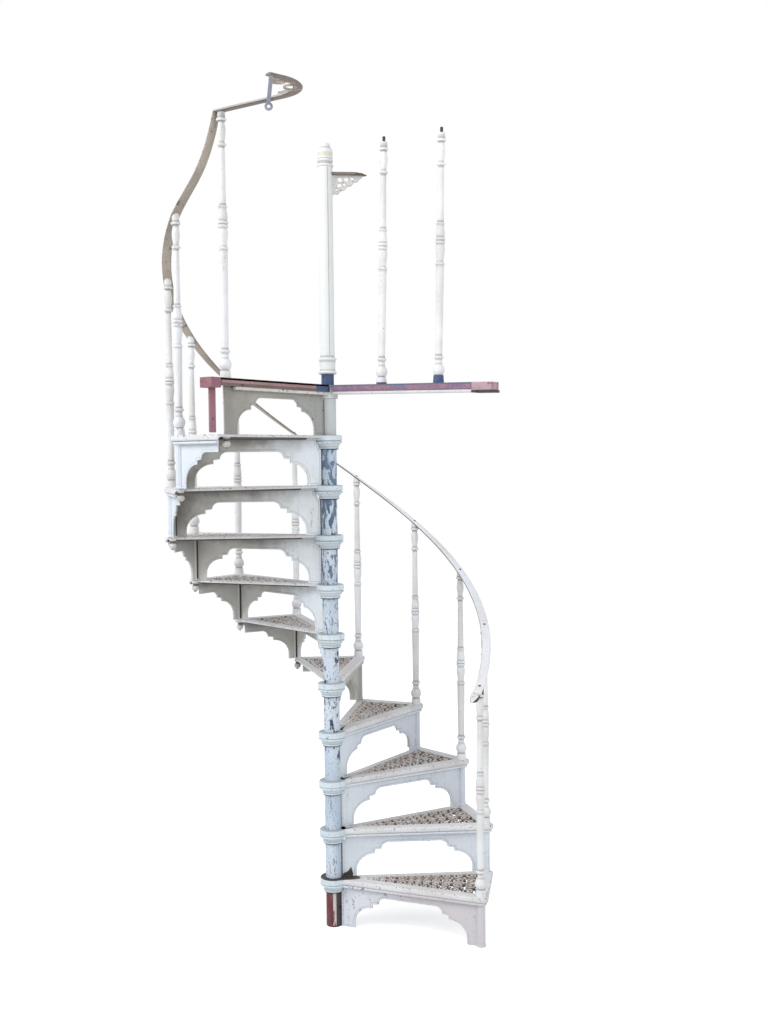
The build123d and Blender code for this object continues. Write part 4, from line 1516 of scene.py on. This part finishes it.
def strip_run(start, end):
    """Top slab, front and back flanges and a raised middle moulding of the landing's edge."""
    slab = straight_bar(max(start, root_radius), end, rounded_box(60, 10, 2), 3.0, -5.0)
    face = straight_bar(start, end, rounded_box(8, 30, 2), 29.0, -15.0)
    back = straight_bar(max(start, root_radius), end, rounded_box(8, 22, 3), -23.0, -11.0)
    return [moved(bar, strip_frame) for bar in (slab, face, back)]


make_piece(
    "landing_strip", strip_run(navy_end, strip_reach), brown_strip, ["landing_nosing"],
)
make_piece("landing_strip_inner", strip_run(face_start, navy_end), navy_paint)
set_in(
    strip_frame,
    "landing_strip_band",
    [straight_bar(navy_end + 4, strip_reach - 3, rounded_box(4, 10, 1.5), 32.5, -14.0)],
    strip_band_paint,
)
set_in(
    strip_frame,
    "landing_strip_bead",
    [straight_bar(face_start + 4, 600, round_bar(7.0, 16), 25.5, -35.5)],
    strip_bead_paint,
)
set_in(
    strip_frame,
    "landing_strip_shadow",
    [straight_bar(face_start + 4, 600, rounded_box(18, 3, 1.2), 14.0, -31.0)],
    dark_and_shadow_paint,
)
lug = block((strip_reach, lug_reach), (-27, 33), (-38, 0))
strap = block((strip_reach, strip_reach + 30), (-4, 4), (-200, -30))
set_in(strip_frame, "landing_lug", [lug, strap], red_oxide)
lug_start = curb_reach - curb_lug
set_in(
    curb_frame,
    "curb_top",
    [straight_bar(root_radius, lug_start, rounded_box(60, 8, 2.5), 0, -4)],
    slate_paint,
    ["landing_curb"],
)
flanges = [straight_bar(root_radius + 8, lug_start, rounded_box(8, 21, 2), y, -15.5) for y in (-26, 26)]
set_in(curb_frame, "curb_face", flanges, pink_primer)
set_in(
    curb_frame,
    "curb_bead",
    [straight_bar(root_radius + 8, lug_start, round_bar(7.0, 16), -23, -33)],
    tread_paint,
)
set_in(
    curb_frame,
    "curb_lug",
    [block((lug_start, curb_reach), (-30, 30), (-31, 0))],
    lug_paint,
)
# Dark strip under the curb's lug: painted shadow.
set_in(
    curb_frame,
    "curb_lug_shadow_lip",
    [block((lug_start, curb_reach + 4), (-31, 31), (-curb_depth, -30))],
    dark_and_shadow_paint,
)
feet = []
for along, height in zip(curb_places, (14.0, 30.0)):
    foot = turned(21.3, [("line", 3.0, 21.3), ("line", height - 3, 19.6), ("step", 0.0, 14.0)])
    feet.append(moved(lathe(foot, 28), curb_frame @ shift(x=along)))
make_piece("landing_baluster_feet", feet, navy_paint)

# ---- pieces: rails ----

rail_crease = 50.0
rail_change = 5.9
end_length = 0.14
end_change = 1 - rail_overrun + end_length
rail_lengths = (
    ("handrail_end", handrail(0.0, end_change + 0.01, -1.0), rail_end_paint, ()),
    ("handrail_lower", handrail(end_change, rail_change), rail_paint, ["handrail"]),
    ("handrail_upper", handrail(rail_change, rail_top_step), upper_rail_paint, ()),
)
for name, length, paint, nodes in rail_lengths:
    make_piece(name, [length], paint, nodes, rail_crease)
bolt = turned(5.5, [("line", 2.0, 5.5), ("bead", 2.5, 1.5, 4.6)])
bolts = []
for step in range(1, last_step):
    bolts.append(moved(lathe(bolt, 16), at_corner(step, float(rail_height(step)) + rail_thickness)))
make_piece("handrail_bolts", bolts, dark_and_shadow_paint)
# Dark ring at the first baluster's head: painted shadow at its join under the rail.
socket_foot = at_corner(1, float(rail_height(1)) - 36)
socket = turned(15.5, [("line", 3.0, 16.5), ("line", 30.0, 16.5), ("line", 2.0, 15.0)])
make_piece("first_baluster_shaded_socket", [moved(lathe(socket, 24), socket_foot)], dark_iron_and_shadow)
level_path = landing_rail_path()
make_piece(
    "landing_rail_bent",
    [sweep(level_path, rail_section(level_width, level_thickness))],
    brown_rail,
    ["landing_rail"],
    rail_crease,
)
edge_section = rounded_box(1.4, 6.2, 0.5) + (0.0, level_thickness / 2)
edges = [sweep(level_path[:26], edge_section + (side * level_width / 2, 0.0)) for side in (-1, 1)]
make_piece("landing_rail_edges", edges, rail_edge_paint)
brace_start = np.array([230.0, -level_reach])
tail_run = level_path[-1, :2] - level_path[-2, :2]
brace_head = level_path[-1, :2] - 0.2 * tail_length * tail_run / np.linalg.norm(tail_run)
brace_run = (brace_head - brace_start) / np.linalg.norm(brace_head - brace_start)
brace = level(np.linspace(brace_start, brace_head + brace_run * 8, 20), level_height - 5)
ring_radius, ring_bar = 10.5, 4.8
ring_side = np.array([-brace_run[1], brace_run[0], 0])
ring_turn = np.linspace(0, 2 * pi, 40, endpoint=False)[:, None]
spoke = np.cos(ring_turn) * ring_side + np.sin(ring_turn) * np.array([0, 0, 1])
section = round_bar(ring_bar, 10)
ring_points = spoke[:, None] * (ring_radius + section[None, :, :1])
ring_points = ring_points + np.r_[brace_run, 0] * section[None, :, 1:]
ring_points = ring_points + np.r_[brace_start, level_height - 10 - ring_radius]
make_piece(
    "rail_brace_bar",
    [sweep(brace, rounded_box(14, 10, 2.5)), grid(ring_points, wrap_rows=True, wrap_cols=True)],
    grey_iron,
    ["rail_brace"],
)
loop_middle = (level_path[30:-1, :2].mean(0) + brace[5:-3, :2].mean(0)) / 2
scroll_bar = rounded_box(6.5, 8, 2)
scrolls = [
    sweep(level(spiral(loop_middle + offset, size, 0.9, start, way, 0.35), level_height + 3), scroll_bar)
    for offset, size, start, way in (((20, 34), 33, 2.0, 1), ((26, -38), 34, -1.2, -1))
]
struts = (((-58, 58), (36, 64)), ((10, -68), (60, 2)))
for start, end in struts:
    line = np.linspace(loop_middle + start, loop_middle + end, 12)
    scrolls.append(sweep(level(line, level_height + 3), scroll_bar))
make_piece("rail_scrollwork", scrolls, upper_rail_paint)

# ---- pieces: newel bracket ----

bracket_turn = radians(40.0)
stub_width, stub_thickness = 46.0, 13.0
bracket_underside = landing_height + bracket_top - stub_thickness
stub_reach, scarf, dark_start = 170.0, 60.0, 122.0
bracket_foot = (0, 0, bracket_underside)
bracket_along = np.array([cos(bracket_turn), sin(bracket_turn), 0])
bracket_side = np.array([-sin(bracket_turn), cos(bracket_turn), 0])
bracket_frame = basis(bracket_foot, bracket_along, bracket_side, (0, 0, 1))


def stub(start, end):
    """Length of rail from start to end whose top falls in a scarf to a thin edge at the tip."""
    section = rail_section(stub_width, stub_thickness)
    points, faces, relief = straight_bar(start, end, section, parts=30)
    top = 1.5 + (stub_reach - points[:, 0]) * (stub_thickness - 1.5) / scarf
    points[:, 2] = np.minimum(points[:, 2], top)
    points[:, 1] *= np.clip((stub_reach + 8 - points[:, 0]) / 30, 0.3, 1)
    return moved((points, faces, relief), bracket_frame)


make_piece("bracket_stub", [stub(30.3, dark_start)], brown_rail, ["newel_bracket"])
make_piece("bracket_stub_end", [stub(dark_start, stub_reach)], dark_iron_and_shadow)
web_span, web_foot, web_lip = 150.0, 78.0, 11.0
x, z = np.meshgrid(np.arange(26, web_span + 6, 1.6), np.arange(-web_foot - 5, 5, 1.6))
web_points = np.stack([x, z], -1).reshape(-1, 2)
out, height = web_points.T
web_depth = web_lip + (web_foot - web_lip) * np.clip((web_span - out) / (web_span - 44), 0, 1)
web_depth = web_depth + 3.0 * np.cos(out * 0.24)
field = np.minimum.reduce([out - 29, -height + 0.5, height + web_depth, web_span - out])
piercings = ((60, 17, 9), (58, 40, 8.5), (86, 16, 8.5), (110, 13, 6.5), (46, 58, 5), (78, 36, 6))
for across, down, size in piercings:
    field = np.minimum(field, distance_to(web_points, np.array([[across, -down]])) - size)
web = pierced_plate(x, z, field.reshape(x.shape), 4.0, -4.0, 1.2)
web_frame = basis(bracket_foot, bracket_along, (0, 0, 1), -bracket_side)
make_piece("bracket_web", [moved(web, web_frame)], bracket_paint)

# ---- floor and light ----


def stage_material(name, color, lift):
    """A pale surface that the camera and reflections see lifted towards white, shadows kept."""
    material = bpy.data.materials.new(name)
    material.use_nodes = True
    tree = material.node_tree
    tree.nodes.clear()
    strength = times(tree, seen_directly(tree), lift)
    base = add(tree, "ShaderNodeBsdfDiffuse", None, Color=color)
    glow = add(tree, "ShaderNodeEmission", None, Color=(1, 1, 1, 1), Strength=strength)
    both = add(tree, "ShaderNodeAddShader", None, in0=base.outputs[0], in1=glow.outputs[0])
    add(tree, "ShaderNodeOutputMaterial", None, Surface=both.outputs[0])
    return material


floor_mesh = bpy.data.meshes.new("floor")
extent = 14.0
corners = [(-extent, -extent, 0), (extent, -extent, 0), (extent, extent, 0), (-extent, extent, 0)]
floor_mesh.from_pydata(corners, [], [(0, 1, 2, 3)])
floor_mesh.materials.append(stage_material("floor_pale", (0.82, 0.82, 0.82, 1), 0.5))
floor = bpy.data.objects.new("floor", floor_mesh)
bpy.context.scene.collection.objects.link(floor)

world = bpy.data.worlds.new("studio")
bpy.context.scene.world = world
world.use_nodes = True
tree = world.node_tree
tree.nodes.clear()
seen = seen_directly(tree)
soft = add(tree, "ShaderNodeBackground", None, Color=(0.93, 0.96, 1.0, 1), Strength=0.68)
white = add(tree, "ShaderNodeBackground", None, Color=(1, 1, 1, 1), Strength=1.0)
mixed = add(tree, "ShaderNodeMixShader", None, Fac=seen, in1=soft.outputs[0], in2=white.outputs[0])
add(tree, "ShaderNodeOutputWorld", None, Surface=mixed.outputs[0])


def lamp(name, place, target, size, power, color=(1, 1, 1)):
    """A square soft light aimed at a point."""
    light = bpy.data.lights.new(name, "AREA")
    light.size = size
    light.energy = power
    light.color = color
    made = bpy.data.objects.new(name, light)
    bpy.context.scene.collection.objects.link(made)
    aim = np.array(target) - np.array(place)
    made.location = place
    made.rotation_euler = (atan2(sqrt(aim[0] ** 2 + aim[1] ** 2), -aim[2]), 0, atan2(aim[0], -aim[1]) + pi)
    return made


lamp("key", (-2.5, -5.0, 5.5), (0, 0, 1.4), 4.0, 285)
lamp("fill", (5.5, -1.5, 3.0), (0, 0, 1.5), 4.0, 100)

# ---- camera ----

camera_distance, camera_height = 4.92044, 1.96465
camera_bearing = radians(37.2369)
lens_length, sensor_width = 41.87, 36.0
yaw, pitch, roll = 0.0459446, -0.0473574, -0.0103644
ahead = np.array([cos(pitch) * sin(yaw), cos(pitch) * cos(yaw), sin(pitch)])
level_right = np.array([cos(yaw), -sin(yaw), 0])
level_up = np.cross(level_right, ahead)
right = cos(roll) * level_right + sin(roll) * level_up
up = cos(roll) * level_up - sin(roll) * level_right
swing_cos, swing_sin = cos(camera_bearing), sin(camera_bearing)
swing = np.array([[swing_cos, -swing_sin, 0], [swing_sin, swing_cos, 0], [0, 0, 1]])
eye = swing @ np.array([0, -camera_distance, camera_height])
camera_data = bpy.data.cameras.new("camera")
camera_data.lens = lens_length
camera_data.sensor_width = sensor_width
camera = bpy.data.objects.new("camera", camera_data)
bpy.context.scene.collection.objects.link(camera)
camera.matrix_world = Matrix(basis(eye, swing @ right, swing @ up, -swing @ ahead).tolist())
bpy.context.scene.camera = camera

bpy.context.scene.view_settings.view_transform = "Standard"
